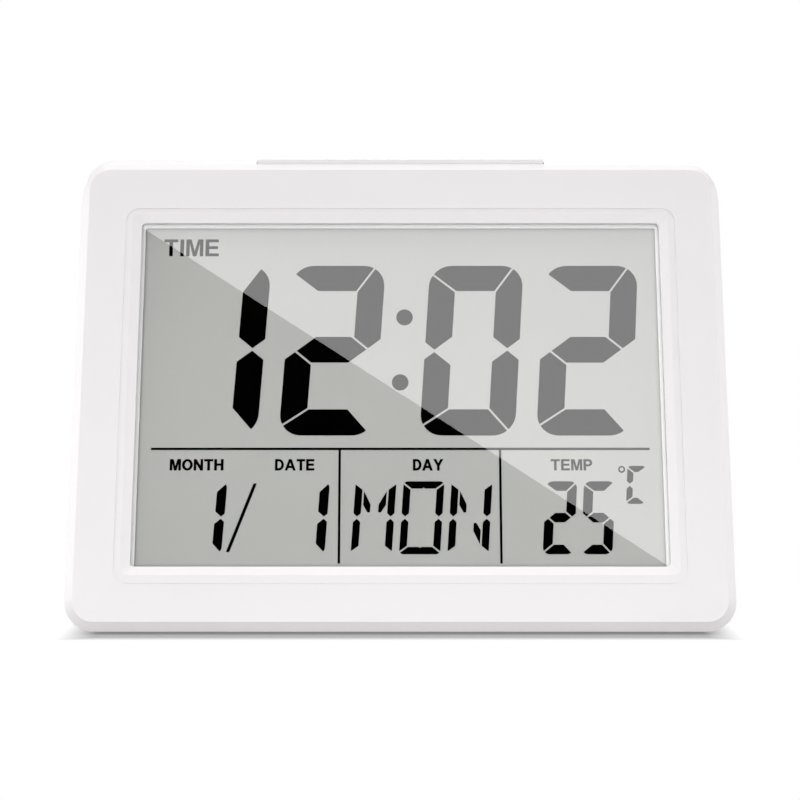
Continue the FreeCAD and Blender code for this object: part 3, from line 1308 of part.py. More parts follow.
def rear_housing():
    skin = cut("rear_skin", case_outside, front_part)
    shell = cut("rear_shell", skin, cavity)
    added = [shell, locating_lip()]
    removed = [snooze_slot, key_cutter()]
    for name, x_text, height in posts:
        start = post_meeting(height)
        added.append(cylinder("rear_post_" + name, (x_text, start, height), "post_radius",
                              back_y + " - wall / 2 - " + start, "y"))
        removed.append(cylinder("head_bore_" + name, (x_text, start + " + post_floor", height),
                                "screw_head + 2 * fit_gap", "case_depth", "y"))
        removed.append(cylinder("shank_bore_" + name, (x_text, start + " - overrun", height),
                                "screw_radius + fit_gap", "post_floor + 2 * overrun", "y"))
    added.append(box("bay_block", ("0 - " + bay_width + " / 2 - bay_wall",
                                   seat_y + " - " + bay_depth + " - bay_wall", "bay_low - bay_wall"),
                     (bay_width + " + 2 * bay_wall", bay_depth + " + bay_wall + overrun",
                      bay_height + " + 2 * bay_wall")))
    added.append(box("door_frame",
                     ("0 - " + seat_width + " / 2 - door_frame_wide", seat_y + " - door_frame_deep",
                                    seat_low + " - door_frame_tall"),
                     (seat_width + " + 2 * door_frame_wide", "door_frame_deep + wall / 3",
                      seat_height + " + 2 * door_frame_tall")))
    removed.append(box("bay_room", ("0 - " + bay_width + " / 2", seat_y + " - " + bay_depth, "bay_low"),
                       (bay_width, bay_depth + " + " + seat_depth + " + overrun", bay_height)))
    removed.append(box("door_seat", ("0 - " + seat_width + " / 2", seat_y, seat_low),
                       (seat_width, seat_depth + " + overrun", seat_height)))
    removed.append(box("finger_notch", ("0 - notch_wide / 2", back_y + " - notch_deep",
                                        seat_low + " + " + seat_height + " - overrun"),
                       ("notch_wide", "notch_deep + overrun", "notch_tall + overrun")))
    removed.append(cylinder("peg_hole", ("0 - " + seat_width + " / 2 - peg_length", hinge_y, hinge_z),
                            "peg_radius + peg_gap", seat_width + " + 2 * peg_length", "x"))
    for name, x_text, y_text in feet:
        removed.append(cylinder("foot_recess_" + name, (x_text, y_text, "0"), "foot_radius + fit_gap",
                                "foot_stand + foot_recess"))
    for name, x_text, height in key_posts:
        added.append(cylinder("key_post_" + name, (x_text, key_board_y, height), "key_boss",
                              back_y + " - wall / 2 - " + key_board_y, "y"))
        removed.append(cylinder("key_pilot_" + name, (x_text, key_board_y + " - overrun", height),
                                "short_screw + thread_gap", "overrun + key_bite", "y"))
    for name, x_text in seats.items():
        half = "small_board / 2" if name == "middle" else "(spring_radius + spring_wire + shelf_side)"
        front = "(" + bar_middle_y + " - shelf_reach)"
        added.append(box("shelf_" + name, (x_text + " - " + half, front, shelf_top + " - shelf_thick"),
                         ("2 * " + half, inner_back + " + overrun - " + front, "shelf_thick")))
        if name != "middle":
            added.append(cylinder("spring_peg_" + name,
                                  (x_text, bar_middle_y, shelf_top + " - shelf_thick / 2"),
                                  "spring_radius - spring_wire / 2 - 2 * fit_gap",
                                  "shelf_thick / 2 + peg_tall"))
    ring_y = "(" + sounder_y + " - sounder_rise)"
    ring_outside = cylinder("sounder_ring_outside", ("sounder_place", ring_y, "sounder_height"),
                            "sounder_radius + fit_gap + sounder_rim",
                            "sounder_rise + sounder_thick + wall / 2", "y")
    ring_inside = cylinder("sounder_ring_inside",
                           ("sounder_place", ring_y + " - overrun", "sounder_height"),
                           "sounder_radius + fit_gap", "case_depth", "y")
    added.append(cut("sounder_ring", ring_outside, ring_inside))
    for number in range(7):
        turn = str(number) + " * 60"
        reach = "0" if number == 6 else "sound_ring"
        removed.append(cylinder("sound_hole_" + str(number),
                                ("sounder_place + " + reach + " * cos(" + turn + ")",
                                 inner_back + " - overrun",
                                 "sounder_height + " + reach + " * sin(" + turn + ")"),
                                "sound_hole", "wall + 2 * overrun", "y"))
    for number in range(3):
        vent_x = "0 - vent_place + (" + str(number) + " - 1) * vent_pitch"
        removed.append(box("vent_" + str(number),
                           (vent_x + " - vent_width / 2", inner_back + " - overrun",
                            "key_height - vent_height / 2"),
                           ("vent_width", "wall + 2 * overrun", "vent_height")))
    return cut("rear_housing", fuse("rear_solid", added), fuse("rear_tools", removed))


keep(rear_housing())


def battery_door():
    """A flat door with a fully round lower edge and a peg at each end of that edge."""
    reach = "(" + seat_width + " / 2 - door_gap)"
    panel = box("door_panel", ("0 - " + reach, back_y + " - door_thick", hinge_z),
                ("2 * " + reach, "door_thick", seat_low + " + " + seat_height + " - door_gap - " + hinge_z))
    roll = cylinder("door_roll", ("0 - " + reach, hinge_y, hinge_z), "door_thick / 2", "2 * " + reach, "x")
    pegs = cylinder("door_pegs", ("0 - " + seat_width + " / 2 - peg_length + fit_gap", hinge_y, hinge_z),
                    "peg_radius",
                    seat_width + " + 2 * peg_length - 2 * fit_gap", "x")
    grips = [box("door_grip_" + str(number),
                 ("0 - grip_wide / 2", back_y + " - grip_deep",
                  seat_low + " + " + seat_height + " - grip_drop - " + str(number) + " * grip_pitch"),
                 ("grip_wide", "grip_deep + overrun", "grip_tall")) for number in range(4)]
    return cut("battery_door", fuse("door_solid", [panel, roll, pegs]), fuse("door_grips", grips))


keep(battery_door())


def coil(name, radius, wire, turns, length, axis, base):
    """A helical spring from `base` along +Z or along +X or -X, wire ends inside its length."""
    helix = doc.addObject("Part::Helix", name + "_helix")
    bind(helix, "Radius", radius)
    bind(helix, "Height", length + " - " + wire)
    bind(helix, "Pitch", "(" + length + " - " + wire + ") / " + turns)
    section = doc.addObject("Part::Circle", name + "_section")
    bind(section, "Radius", wire + " / 2")
    section.Placement = FreeCAD.Placement(FreeCAD.Vector(), FreeCAD.Rotation(FreeCAD.Vector(1, 0, 0), 90))
    bind(section, "Placement.Base.x", radius)
    sweep = doc.addObject("Part::Sweep", name)
    sweep.Sections = [section]
    sweep.Spine = (helix, [])
    sweep.Solid = True
    sweep.Frenet = True
    turn = {"z": 0, "x": 90, "-x": -90}[axis]
    sweep.Placement = FreeCAD.Placement(FreeCAD.Vector(), FreeCAD.Rotation(FreeCAD.Vector(0, 1, 0), turn))
    along = {"z": "z", "x": "x", "-x": "x"}[axis]
    sign = " - " if axis == "-x" else " + "
    for letter, text in zip("xyz", base):
        bind(sweep, "Placement.Base." + letter, text + (sign + wire + " / 2" if letter == along else ""))
    return sweep


cell_y = "(" + seat_y + " - cell_radius - cell_play / 2)"
low_cell = "(bay_low + cell_radius + cell_play / 2)"
high_cell = "(" + bay_top + " - cell_radius - cell_play / 2)"
end_x = "(" + bay_width + " / 2)"
coil_length = "(contact_room - 2 * contact_plate + coil_press)"
keep(group("battery_springs", [
    coil("upper_cell_spring", "coil_radius", "coil_wire", "coil_turns", coil_length, "x",
         ("0 - " + end_x + " + contact_plate", cell_y, high_cell)),
    coil("lower_cell_spring", "coil_radius", "coil_wire", "coil_turns", coil_length, "-x",
         (end_x + " - contact_plate", cell_y, low_cell))]))


def contact(name, x_text, low, high):
    """A flat contact over the heights of one or two cells' middles."""
    return box(name, (x_text, cell_y + " - contact_side / 2", low + " - contact_side / 2"),
               ("contact_plate", "contact_side", high + " - " + low + " + contact_side"))


keep(group("battery_plates", [
    contact("bridge_plate", "0 - " + end_x, low_cell, high_cell),
    contact("upper_plate", end_x + " - contact_plate", high_cell, high_cell),
    contact("lower_plate", end_x + " - contact_plate", low_cell, low_cell)]))


def snooze_bar():
    """The long key on top: crowned skin, four hollows, end flanges and the plunger over its switch."""
    body = new_body("bar_block")
    shoulder = "(" + bar_top + " - bar_crown + sqrt(bar_crown ^ 2 - (bar_depth / 2) ^ 2))"
    sketch = new_sketch(body, "bar_side", "YZ_Plane")
    low_front, low_back = (bar_front_y, bar_foot), (bar_back_y, bar_foot)
    high_back, high_front = (bar_back_y, shoulder), (bar_front_y, shoulder)
    sketch.addGeometry(Part.LineSegment(vector(*low_front), vector(*low_back)), False)
    sketch.addGeometry(Part.LineSegment(vector(*low_back), vector(*high_back)), False)
    arc_between(sketch, (bar_middle_y, bar_top + " - bar_crown"), "bar_crown", high_back, high_front)
    sketch.addGeometry(Part.LineSegment(vector(*high_front), vector(*low_front)), False)
    for here, there in ((0, 1), (1, 2), (2, 3), (3, 0)):
        sketch.addConstraint(Sketcher.Constraint("Coincident", here, 2, there, 1))
    place_point(sketch, 0, 1, *low_front)
    place_point(sketch, 0, 2, *low_back)
    hold(sketch, "DistanceX", (-1, 1, 2, 1), bar_back_y)
    hold(sketch, "DistanceX", (-1, 1, 2, 2), bar_front_y)
    pad(body, sketch, "bar_length", "bar_width", midplane=True)
    low = value(bar_foot)
    round_edges(body, "bar_edges", lambda edge: edge.BoundBox.ZMin > low + 1e-3, "bar_round")
    rib = "(2 * (spring_radius + spring_wire + rib_side))"
    span = "(spring_spread - " + rib + ")"
    hollows = []
    for side, sign in (("right", 1), ("left", -1)):
        near = "(" + rib + " / 2)"
        far = "(spring_spread + " + rib + " / 2)"
        inner = (near if sign > 0 else "0 - " + near + " - " + span)
        outer_width = "(bar_width / 2 - bar_skin - " + far + ")"
        outer = (far if sign > 0 else "0 - " + far + " - " + outer_width)
        for label, start, width in (("inner", inner, span), ("outer", outer, outer_width)):
            hollows.append(box("bar_hollow_" + label + "_" + side,
                               (start, bar_front_y + " + bar_skin", bar_foot + " - overrun"),
                               (width, "bar_depth - 2 * bar_skin", "bar_skirt - bar_skin + overrun")))
    flanges = [box("bar_flange_" + side,
                   (start, bar_middle_y + " - flange_deep / 2", bar_foot + " + flange_rise"),
                   ("flange_out + overrun", "flange_deep", "flange_thick"))
               for side, start in (("right", "bar_width / 2 - overrun"),
                                   ("left", "0 - bar_width / 2 - flange_out"))]
    tip = "(" + snooze_cap + " + bar_travel + switch_play)"
    plunger = cylinder("bar_plunger", ("0", bar_middle_y, tip), "plunger_radius",
                       bar_foot + " + overrun - " + tip)
    return cut("snooze_bar", fuse("bar_solid", [body, plunger] + flanges), fuse("bar_hollows", hollows))


snooze_cap = "(" + shelf_top + " + board_thick + switch_thick + switch_cap_high)"
keep(snooze_bar())
keep(group("snooze_springs", [coil("snooze_spring_" + side, "spring_radius", "spring_wire", "spring_turns",
                                   bar_foot + " - " + shelf_top, "z", (x_text, bar_middle_y, shelf_top))
                              for side, x_text in seats.items() if side != "middle"]))
keep(group("snooze_board", [
    box("snooze_board_block", ("0 - small_board / 2", bar_middle_y + " - shelf_reach", shelf_top),
        ("small_board", "2 * shelf_reach", "board_thick"))]))
keep(fuse("snooze_switch", [
    box("snooze_switch_body", ("0 - switch_side / 2", bar_middle_y + " - switch_side / 2",
                               shelf_top + " + board_thick"),
        ("switch_side", "switch_side", "switch_thick")),
    cylinder("snooze_switch_cap", ("0", bar_middle_y, snooze_cap + " - switch_cap_high - switch_cap_root"),
             "switch_cap", "switch_cap_high + switch_cap_root")]))


def button(key):
    body = new_body(key + "_button")
    x_text = key_places[key]
    back_plate(body, key + "_cap", "key_width", "key_tall", "key_corner", x_text, "key_height",
               key_lip_y + " - key_lip_thick / 2", key_top + " - " + key_lip_y + " + key_lip_thick / 2")
    top = value(key_top)
    round_edges(body, key + "_cap_edge", lambda edge: edge.BoundBox.YMin > top - 1e-3, "key_round")
    back_plate(body, key + "_lip", "key_width + 2 * key_lip", "key_tall + 2 * key_lip", "key_corner",
               x_text,
               "key_height", key_lip_y + " - key_lip_thick", "key_lip_thick")
    stem = new_sketch(body, key + "_stem_circle", "XZ_Plane", "0 - " + stem_tip)
    circle(stem, "key_stem", x_text, "key_height")
    pad(body, stem, key + "_stem", "stem_long + key_lip_thick / 2", backwards=True)
    return body


for key in keys:
    keep(button(key))


def tact_switches():
    made = []
    for key in keys:
        made.append(fuse(key + "_switch", [
            box(key + "_switch_body", (key_places[key] + " - switch_side / 2", key_board_y,
                                       "key_height - switch_side / 2"),
                ("switch_side", "switch_thick", "switch_side")),
            cylinder(key + "_switch_cap",
                     (key_places[key], switch_face + " - switch_cap_root", "key_height"),
                     "switch_cap", "switch_cap_high + switch_cap_root", "y")]))
    return group("tact_switches", made)


keep(tact_switches())


def key_board():
    board = box("key_board_plate", ("key_board_place - key_board_width / 2", key_board_front,
                                    "key_height - key_board_tall / 2"),
                ("key_board_width", "board_thick", "key_board_tall"))
    holes = [cylinder("key_board_hole_" + name, (x_text, key_board_front + " - overrun", height),
                      "short_screw + fit_gap", "board_thick + 2 * overrun", "y")
             for name, x_text, height in key_posts]
    return cut("key_board", board, fuse("key_board_holes", holes))


keep(key_board())


def key_board_screws():
    """Screws from the front into the posts of the back wall."""
    made = []
    for name, x_text, height in key_posts:
        solid = fuse("key_screw_solid_" + name, [
            cylinder("key_screw_head_" + name, (x_text, key_board_front + " - short_head_thick", height),
                     "short_head", "short_head_thick", "y"),
            cylinder("key_screw_shank_" + name,
                     (x_text, key_board_front + " - short_head_thick / 2", height),
                     "short_screw", "short_head_thick / 2 + board_thick + key_bite - 2 * fit_gap", "y")])
        cross = cross_slots("key_screw_cross_" + name,
                            (x_text, key_board_front + " - short_head_thick + cross_deep - case_depth",
                             height),
                            "short_cross")
        made.append(cut("key_screw_" + name, solid, cross))
    return group("key_board_screws", made)


keep(key_board_screws())
knob_x = "(slider_place - slider_travel / 2)"


def slider_knob():
    body = new_body("alarm_switch_knob")
    back_plate(body, "knob_cap", "slider_wide", "slider_tall", "knob_corner", knob_x, "key_height",
               key_lip_y + " - key_lip_thick / 2", key_top + " - " + key_lip_y + " + key_lip_thick / 2")
    top = value(key_top)
    round_edges(body, "knob_edge", lambda edge: edge.BoundBox.YMin > top - 1e-3, "key_round")
    back_plate(body, "knob_lip", "slider_wide + 2 * slider_travel + 2 * key_lip",
               "slider_tall + 2 * key_lip",
               "key_corner", knob_x, "key_height", key_lip_y + " - key_lip_thick", "key_lip_thick")
    return body


keep(slider_knob())
can_face = "(" + key_board_y + " + can_thick)"
lever_front = "(" + can_face + " - lever_root)"
keep(group("slide_switch_lever", [
    box("lever_block", (knob_x + " - lever_side / 2", lever_front, "key_height - lever_side / 2"),
        ("lever_side", key_lip_y + " - key_lip_thick - " + lever_front, "lever_side"))]))
keep(cut("slide_switch",
         box("switch_can", ("slider_place - can_long / 2", key_board_y, "key_height - can_tall / 2"),
             ("can_long", "can_thick", "can_tall")),
         box("switch_can_slot", ("slider_place - slider_travel / 2 - lever_side / 2 - key_gap",
                                 lever_front + " - 2 * fit_gap", "key_height - lever_side / 2 - key_gap"),
             ("slider_travel + lever_side + 2 * key_gap", "can_thick", "lever_side + 2 * key_gap"))))
keep(group("piezo_sounder",
           [cylinder("sounder_disc", ("sounder_place", sounder_y + " - fit_gap", "sounder_height"),
                                      "sounder_radius", "sounder_thick", "y")]))
sensor_x = "(key_board_place - key_board_width / 2 + sensor_inset)"
keep(fuse("temperature_sensor", [
    cylinder("sensor_bead",
             (sensor_x, key_board_y + " + sensor_rise", "key_height - sensor_spread - sensor_leg"),
             "sensor_radius", "2 * sensor_spread + 2 * sensor_leg", "z")] + [
    box("sensor_leg_" + name, (sensor_x + " - sensor_leg / 2", key_board_y,
                               "key_height " + sign + " sensor_spread - sensor_leg / 2"),
        ("sensor_leg", "sensor_rise", "sensor_leg")) for name, sign in (("low", "-"), ("high", "+"))]))


def ribbon():
    """The flat cable from the key board down to the display board."""
    body = new_body("ribbon_cable")
    sketch = new_sketch(body, "ribbon_side", "YZ_Plane")
    top_z = "(key_height - key_board_tall / 2 + ribbon_inset)"
    low_z = "(" + face_z + " + (board_high - ribbon_drop) * cos(lean) - " + board_back + " * sin(lean))"
    low_y = leaned_y(board_back, low_z)
    route = [(key_board_front, top_z), (key_board_front + " - ribbon_out", top_z + " - ribbon_fall"),
             (low_y + " + ribbon_back", low_z + " + ribbon_lift"), (low_y, low_z)]
    over = [(y_text, z_text + " + ribbon_thick") for y_text, z_text in route]
    over[1] = (route[1][0] + " - ribbon_thick", route[1][1] + " + ribbon_thick / 2")
    over[2] = (route[2][0] + " - ribbon_thick", route[2][1] + " + ribbon_thick / 2")
    over[3] = (leaned_y(board_back, "(" + low_z + " + ribbon_thick)"), low_z + " + ribbon_thick")
    outline(sketch, route + over[::-1])
    pad(body, sketch, "ribbon_across", "ribbon_width", midplane=True)
    return body


keep(ribbon())


def case_screws():
    made = []
    for name, x_text, height in posts:
        seat = post_meeting(height)
        solid = fuse("case_screw_solid_" + name, [
            cylinder("case_screw_shank_" + name, (x_text, seat + " - post_bite", height), "screw_radius",
                     "post_bite + post_floor", "y"),
            cylinder("case_screw_head_" + name, (x_text, seat + " + post_floor", height), "screw_head",
                     "head_thick",
                     "y")])
        cross = cross_slots("case_screw_cross_" + name,
                            (x_text, seat + " + post_floor + head_thick - cross_deep", height),
                            "long_cross")
        made.append(cut("case_screw_" + name, solid, cross))
    return group("case_screws", made)


keep(case_screws())


def rubber_feet():
    body = new_body("rubber_feet")
    sketch = new_sketch(body, "feet_circles", "XY_Plane")
    for _, x_text, y_text in feet:
        circle(sketch, "foot_radius", x_text, y_text)
    pad(body, sketch, "feet_height", "foot_stand + foot_recess")
    round_edges(body, "feet_edges", lambda edge: edge.BoundBox.ZMax < 1e-3, "foot_round")
    return body


keep(rubber_feet())

doc.recompute()
broken = [thing.Name for thing in doc.Objects if "Invalid" in thing.State or "Error" in thing.State]
broken += [piece.Label for piece in parts if piece.Shape.isNull() or not piece.Shape.isValid()]
if broken:
    raise RuntimeError("features that failed: " + ", ".join(broken))
os.makedirs("parts", exist_ok=True)
for piece in parts:
    print(piece.Label, len(piece.Shape.Solids), round(piece.Shape.Volume, 1))
    piece.Shape.exportStep("parts/" + piece.Label + ".step")
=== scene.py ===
import math
import bpy
from mathutils import Matrix, Vector


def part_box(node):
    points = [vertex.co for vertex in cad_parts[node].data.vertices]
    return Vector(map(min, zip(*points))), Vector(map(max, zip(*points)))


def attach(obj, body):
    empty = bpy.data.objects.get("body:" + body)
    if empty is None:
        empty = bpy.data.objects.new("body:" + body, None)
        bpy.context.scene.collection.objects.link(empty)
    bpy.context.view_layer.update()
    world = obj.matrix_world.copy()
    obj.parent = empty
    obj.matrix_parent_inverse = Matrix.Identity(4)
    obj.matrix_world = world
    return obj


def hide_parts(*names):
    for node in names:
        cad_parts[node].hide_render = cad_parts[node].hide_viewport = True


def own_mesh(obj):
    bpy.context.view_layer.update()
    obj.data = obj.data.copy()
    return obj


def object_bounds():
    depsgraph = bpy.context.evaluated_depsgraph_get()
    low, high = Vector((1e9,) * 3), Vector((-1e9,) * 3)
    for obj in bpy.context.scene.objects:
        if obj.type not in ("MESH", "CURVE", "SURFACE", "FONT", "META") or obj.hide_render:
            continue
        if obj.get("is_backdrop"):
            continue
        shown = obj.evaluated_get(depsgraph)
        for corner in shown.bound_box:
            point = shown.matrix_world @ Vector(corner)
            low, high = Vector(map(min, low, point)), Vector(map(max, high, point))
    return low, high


# A battery desk clock with a large display: white ABS case leaned back, clear window, black segments.
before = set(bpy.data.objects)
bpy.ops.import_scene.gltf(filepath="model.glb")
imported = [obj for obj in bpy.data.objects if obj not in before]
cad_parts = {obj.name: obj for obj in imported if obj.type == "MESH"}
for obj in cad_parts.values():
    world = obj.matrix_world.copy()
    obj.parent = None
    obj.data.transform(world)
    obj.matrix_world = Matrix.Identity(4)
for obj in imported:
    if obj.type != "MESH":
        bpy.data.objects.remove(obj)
cadLow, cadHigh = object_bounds()
mm = 0.001
print("frame loaded:", len(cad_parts), "nodes")


def middle(node):
    low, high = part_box(node)
    return (low + high) / 2


# The window's face gives the lean of the whole front.
paneFace = max(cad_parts["display_window"].data.polygons, key=lambda face: face.area)
lean = math.atan2(abs(paneFace.normal.z), abs(paneFace.normal.y))
outward = Vector((0, -math.cos(lean), math.sin(lean)))
upward = Vector((0, math.sin(lean), math.cos(lean)))
paneMiddle = middle("display_window")
paneFront = max((corner.co - paneMiddle).dot(outward)
                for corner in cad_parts["display_window"].data.vertices)


def facePoint(across, up, depth):
    # mm across, up along the leaning front and inwards, from the middle of the window
    return paneMiddle + Vector((across * mm, 0, 0)) + upward * up * mm - outward * depth * mm


def linearColour(hexColour):
    # the sRGB curve undone, with an opaque fourth channel
    channels = [int(hexColour[start:start + 2], 16) / 255 for start in (0, 2, 4)]
    return [c / 12.92 if c <= 0.04045 else ((c + 0.055) / 1.055) ** 2.4 for c in channels] + [1]


def newMaterial(name):
    material = bpy.data.materials.new(name)
    material.use_nodes = True
    material.node_tree.nodes.clear()
    return material


def addNode(material, kind, settings=None, links=None):
    # settings go to a colour ramp, to the node's own fields or to its sockets, and links to its sockets
    node = material.node_tree.nodes.new(kind)
    for key, given in (settings or {}).items():
        if key == "stops":
            for place, colour in given[2:]:
                node.color_ramp.elements.new(place)
            for element, (place, colour) in zip(node.color_ramp.elements, sorted(given)):
                element.position = place
                element.color = linearColour(colour)
        elif key == "rampKind":
            node.color_ramp.interpolation = given
        elif isinstance(key, str) and hasattr(node, key):
            setattr(node, key, given)
        else:
            node.inputs[key].default_value = given
    for key, source in (links or {}).items():
        material.node_tree.links.new(source, node.inputs[key])
    return node


def perMetre(millimetres):
    return 1 / (millimetres * mm)  # a texture scale at which a spot or a step is about this wide


# The range that the noise mostly fills, how fine the noise is, and how far the gloss swings.
mouldedSkin = {"noiseRange": (0.3, 0.7), "driftDetail": 2, "grainDetail": 3, "glossSwing": 0.03}


def mouldedPlastic(name, look):
    # two near tones drifting over the moulding, a fine surface grain, and a gloss that varies a little
    material = newMaterial(name)
    noiseLow, noiseHigh = mouldedSkin["noiseRange"]
    swing = mouldedSkin["glossSwing"]
    place = addNode(material, "ShaderNodeTexCoord").outputs["Object"]
    drift = addNode(material, "ShaderNodeTexNoise",
                    {"Scale": perMetre(look["driftSize"]), "Detail": mouldedSkin["driftDetail"]},
                    {"Vector": place}).outputs["Fac"]
    grain = addNode(material, "ShaderNodeTexNoise",
                    {"Scale": perMetre(look["grainSize"]), "Detail": mouldedSkin["grainDetail"]},
                    {"Vector": place}).outputs["Fac"]
    colour = addNode(material, "ShaderNodeValToRGB",
                     {"stops": [(noiseLow, look["shade"]), (noiseHigh, look["colour"])]},
                     {"Fac": drift}).outputs["Color"]
    gloss = addNode(material, "ShaderNodeMapRange", {"From Min": noiseLow, "From Max": noiseHigh,
                                                     "To Min": look["roughness"] - swing,
                                                     "To Max": look["roughness"] + swing},
                    {"Value": grain}).outputs["Result"]
    bump = addNode(material, "ShaderNodeBump", {"Strength": look["grainStrength"],
                                                "Distance": look["grainDepth"] * mm},
                   {"Height": grain}).outputs["Normal"]
    shader = addNode(material, "ShaderNodeBsdfPrincipled", {"IOR": look["ior"]},
                     {"Base Color": colour, "Roughness": gloss, "Normal": bump})
    addNode(material, "ShaderNodeOutputMaterial", links={"Surface": shader.outputs[0]})
    return material


# Moulded ABS with a polished mould: an even satin white with hardly any grain.
frontAbs = mouldedPlastic("frontMouldedAbs", {
    "colour": "f6f3f4", "shade": "f4f1f2", "driftSize": 45, "grainSize": 0.6,
    "grainStrength": 0.1, "grainDepth": 0.01, "roughness": 0.36, "ior": 1.54})
# The same ABS out of a spark-eroded mould: a fine even grain and less gloss, drawn at twice its real 0.2 mm.
rearAbs = mouldedPlastic("rearTexturedAbs", {
    "colour": "f3f0f1", "shade": "f0edee", "driftSize": 40, "grainSize": 0.4,
    "grainStrength": 0.5, "grainDepth": 0.04, "roughness": 0.52, "ior": 1.54})
# Keys are smooth and a touch glossier, because fingers polish them.
keyAbs = mouldedPlastic("keyPolishedAbs", {
    "colour": "f5f3f3", "shade": "f2efef", "driftSize": 18, "grainSize": 0.8,
    "grainStrength": 0.12, "grainDepth": 0.01, "roughness": 0.3, "ior": 1.54})
# High-impact polystyrene of the inner frame: matt and a little whiter than the case.
frameStyrene = mouldedPlastic("framePolystyrene", {
    "colour": "fafafa", "shade": "f7f7f7", "driftSize": 30, "grainSize": 0.5,
    "grainStrength": 0.25, "grainDepth": 0.02, "roughness": 0.5, "ior": 1.59})
# Liquid crystal that is switched on: black, with the matt polariser in front of it.
segmentBlack = mouldedPlastic("segmentBlack", {
    "colour": "030303", "shade": "010101", "driftSize": 6, "grainSize": 0.2,
    "grainStrength": 0.05, "grainDepth": 0.005, "roughness": 0.7, "ior": 1.05})
# The rear polariser and reflector seen through the liquid crystal: a pale grey with a green trace.
displayGround = mouldedPlastic("displayGround", {
    "colour": "d9dad6", "shade": "d6d7d3", "driftSize": 60, "grainSize": 0.25,
    "grainStrength": 0.1, "grainDepth": 0.005, "roughness": 0.6, "ior": 1.15})
# Silvery polyester reflector film: pearly and glossy, in soft patches of two near tones.
reflectorFilm = mouldedPlastic("reflectorPolyester", {
    "colour": "e6e7e8", "shade": "d4d6d8", "driftSize": 3, "grainSize": 0.3,
    "grainStrength": 0.2, "grainDepth": 0.01, "roughness": 0.28, "ior": 1.64})
# Closed-cell acrylic foam tape: off-white, all small bubbles and no gloss.
foamTape = mouldedPlastic("adhesiveFoam", {
    "colour": "e6e5e1", "shade": "d6d5d0", "driftSize": 0.8, "grainSize": 0.35,
    "grainStrength": 0.8, "grainDepth": 0.08, "roughness": 0.9, "ior": 1.47})
# Frosted acrylic of the light guide: milky, with small matt patches that let light out.
guideAcrylic = mouldedPlastic("guideFrostedAcrylic", {
    "colour": "f2f6f7", "shade": "dfe6e8", "driftSize": 1.2, "grainSize": 0.6,
    "grainStrength": 0.4, "grainDepth": 0.03, "roughness": 0.4, "ior": 1.49})
# Silicone encapsulant over the lamp's yellow phosphor.
ledPhosphor = mouldedPlastic("ledPhosphor", {
    "colour": "f4e27a", "shade": "e9d154", "driftSize": 0.6, "grainSize": 0.2,
    "grainStrength": 0.2, "grainDepth": 0.01, "roughness": 0.25, "ior": 1.41})
# Epoxy over the bare chip and the temperature sensor: glossy black with a soft orange-peel skin.
blackEpoxy = mouldedPlastic("chipBlackEpoxy", {
    "colour": "15151a", "shade": "0b0b0e", "driftSize": 5, "grainSize": 1.2,
    "grainStrength": 0.3, "grainDepth": 0.05, "roughness": 0.22, "ior": 1.55})
# Glass-filled nylon of the small switches: black and dry, with small paler flecks of glass.
switchNylon = mouldedPlastic("switchGlassNylon", {
    "colour": "26262a", "shade": "18181b", "driftSize": 0.5, "grainSize": 0.25,
    "grainStrength": 0.4, "grainDepth": 0.02, "roughness": 0.55, "ior": 1.53})
# Barium titanate ceramic of the small capacitors: a dull tan, fired and slightly mottled.
circuitCeramic = mouldedPlastic("circuitCeramic", {
    "colour": "b89c70", "shade": "9d8259", "driftSize": 1.0, "grainSize": 0.3,
    "grainStrength": 0.3, "grainDepth": 0.02, "roughness": 0.55, "ior": 1.6})
# Silicone rubber of the feet: dark grey, matt and a little dusty.
footSilicone = mouldedPlastic("footSilicone", {
    "colour": "4a4a4c", "shade": "3c3c3e", "driftSize": 2, "grainSize": 0.3,
    "grainStrength": 0.5, "grainDepth": 0.03, "roughness": 0.8, "ior": 1.41})
# Pad-printed epoxy ink of the legends: dark grey and matt, a little uneven where the pad lifted.
legendInk = mouldedPlastic("padPrintedEpoxyInk", {
    "colour": "4b4c4f", "shade": "3d3e41", "driftSize": 0.8, "grainSize": 0.3,
    "grainStrength": 0.1, "grainDepth": 0.005, "roughness": 0.55, "ior": 1.5})
print("plastics made")


# The same for plated and drawn metal, with the strength and the depth in mm of its fine lines.
platedSkin = {"spotRange": (0.35, 0.65), "spotDetail": 3, "lineDetail": 2, "glossSwing": 0.1,
              "lineStrength": 0.3, "lineDepth": 0.01}


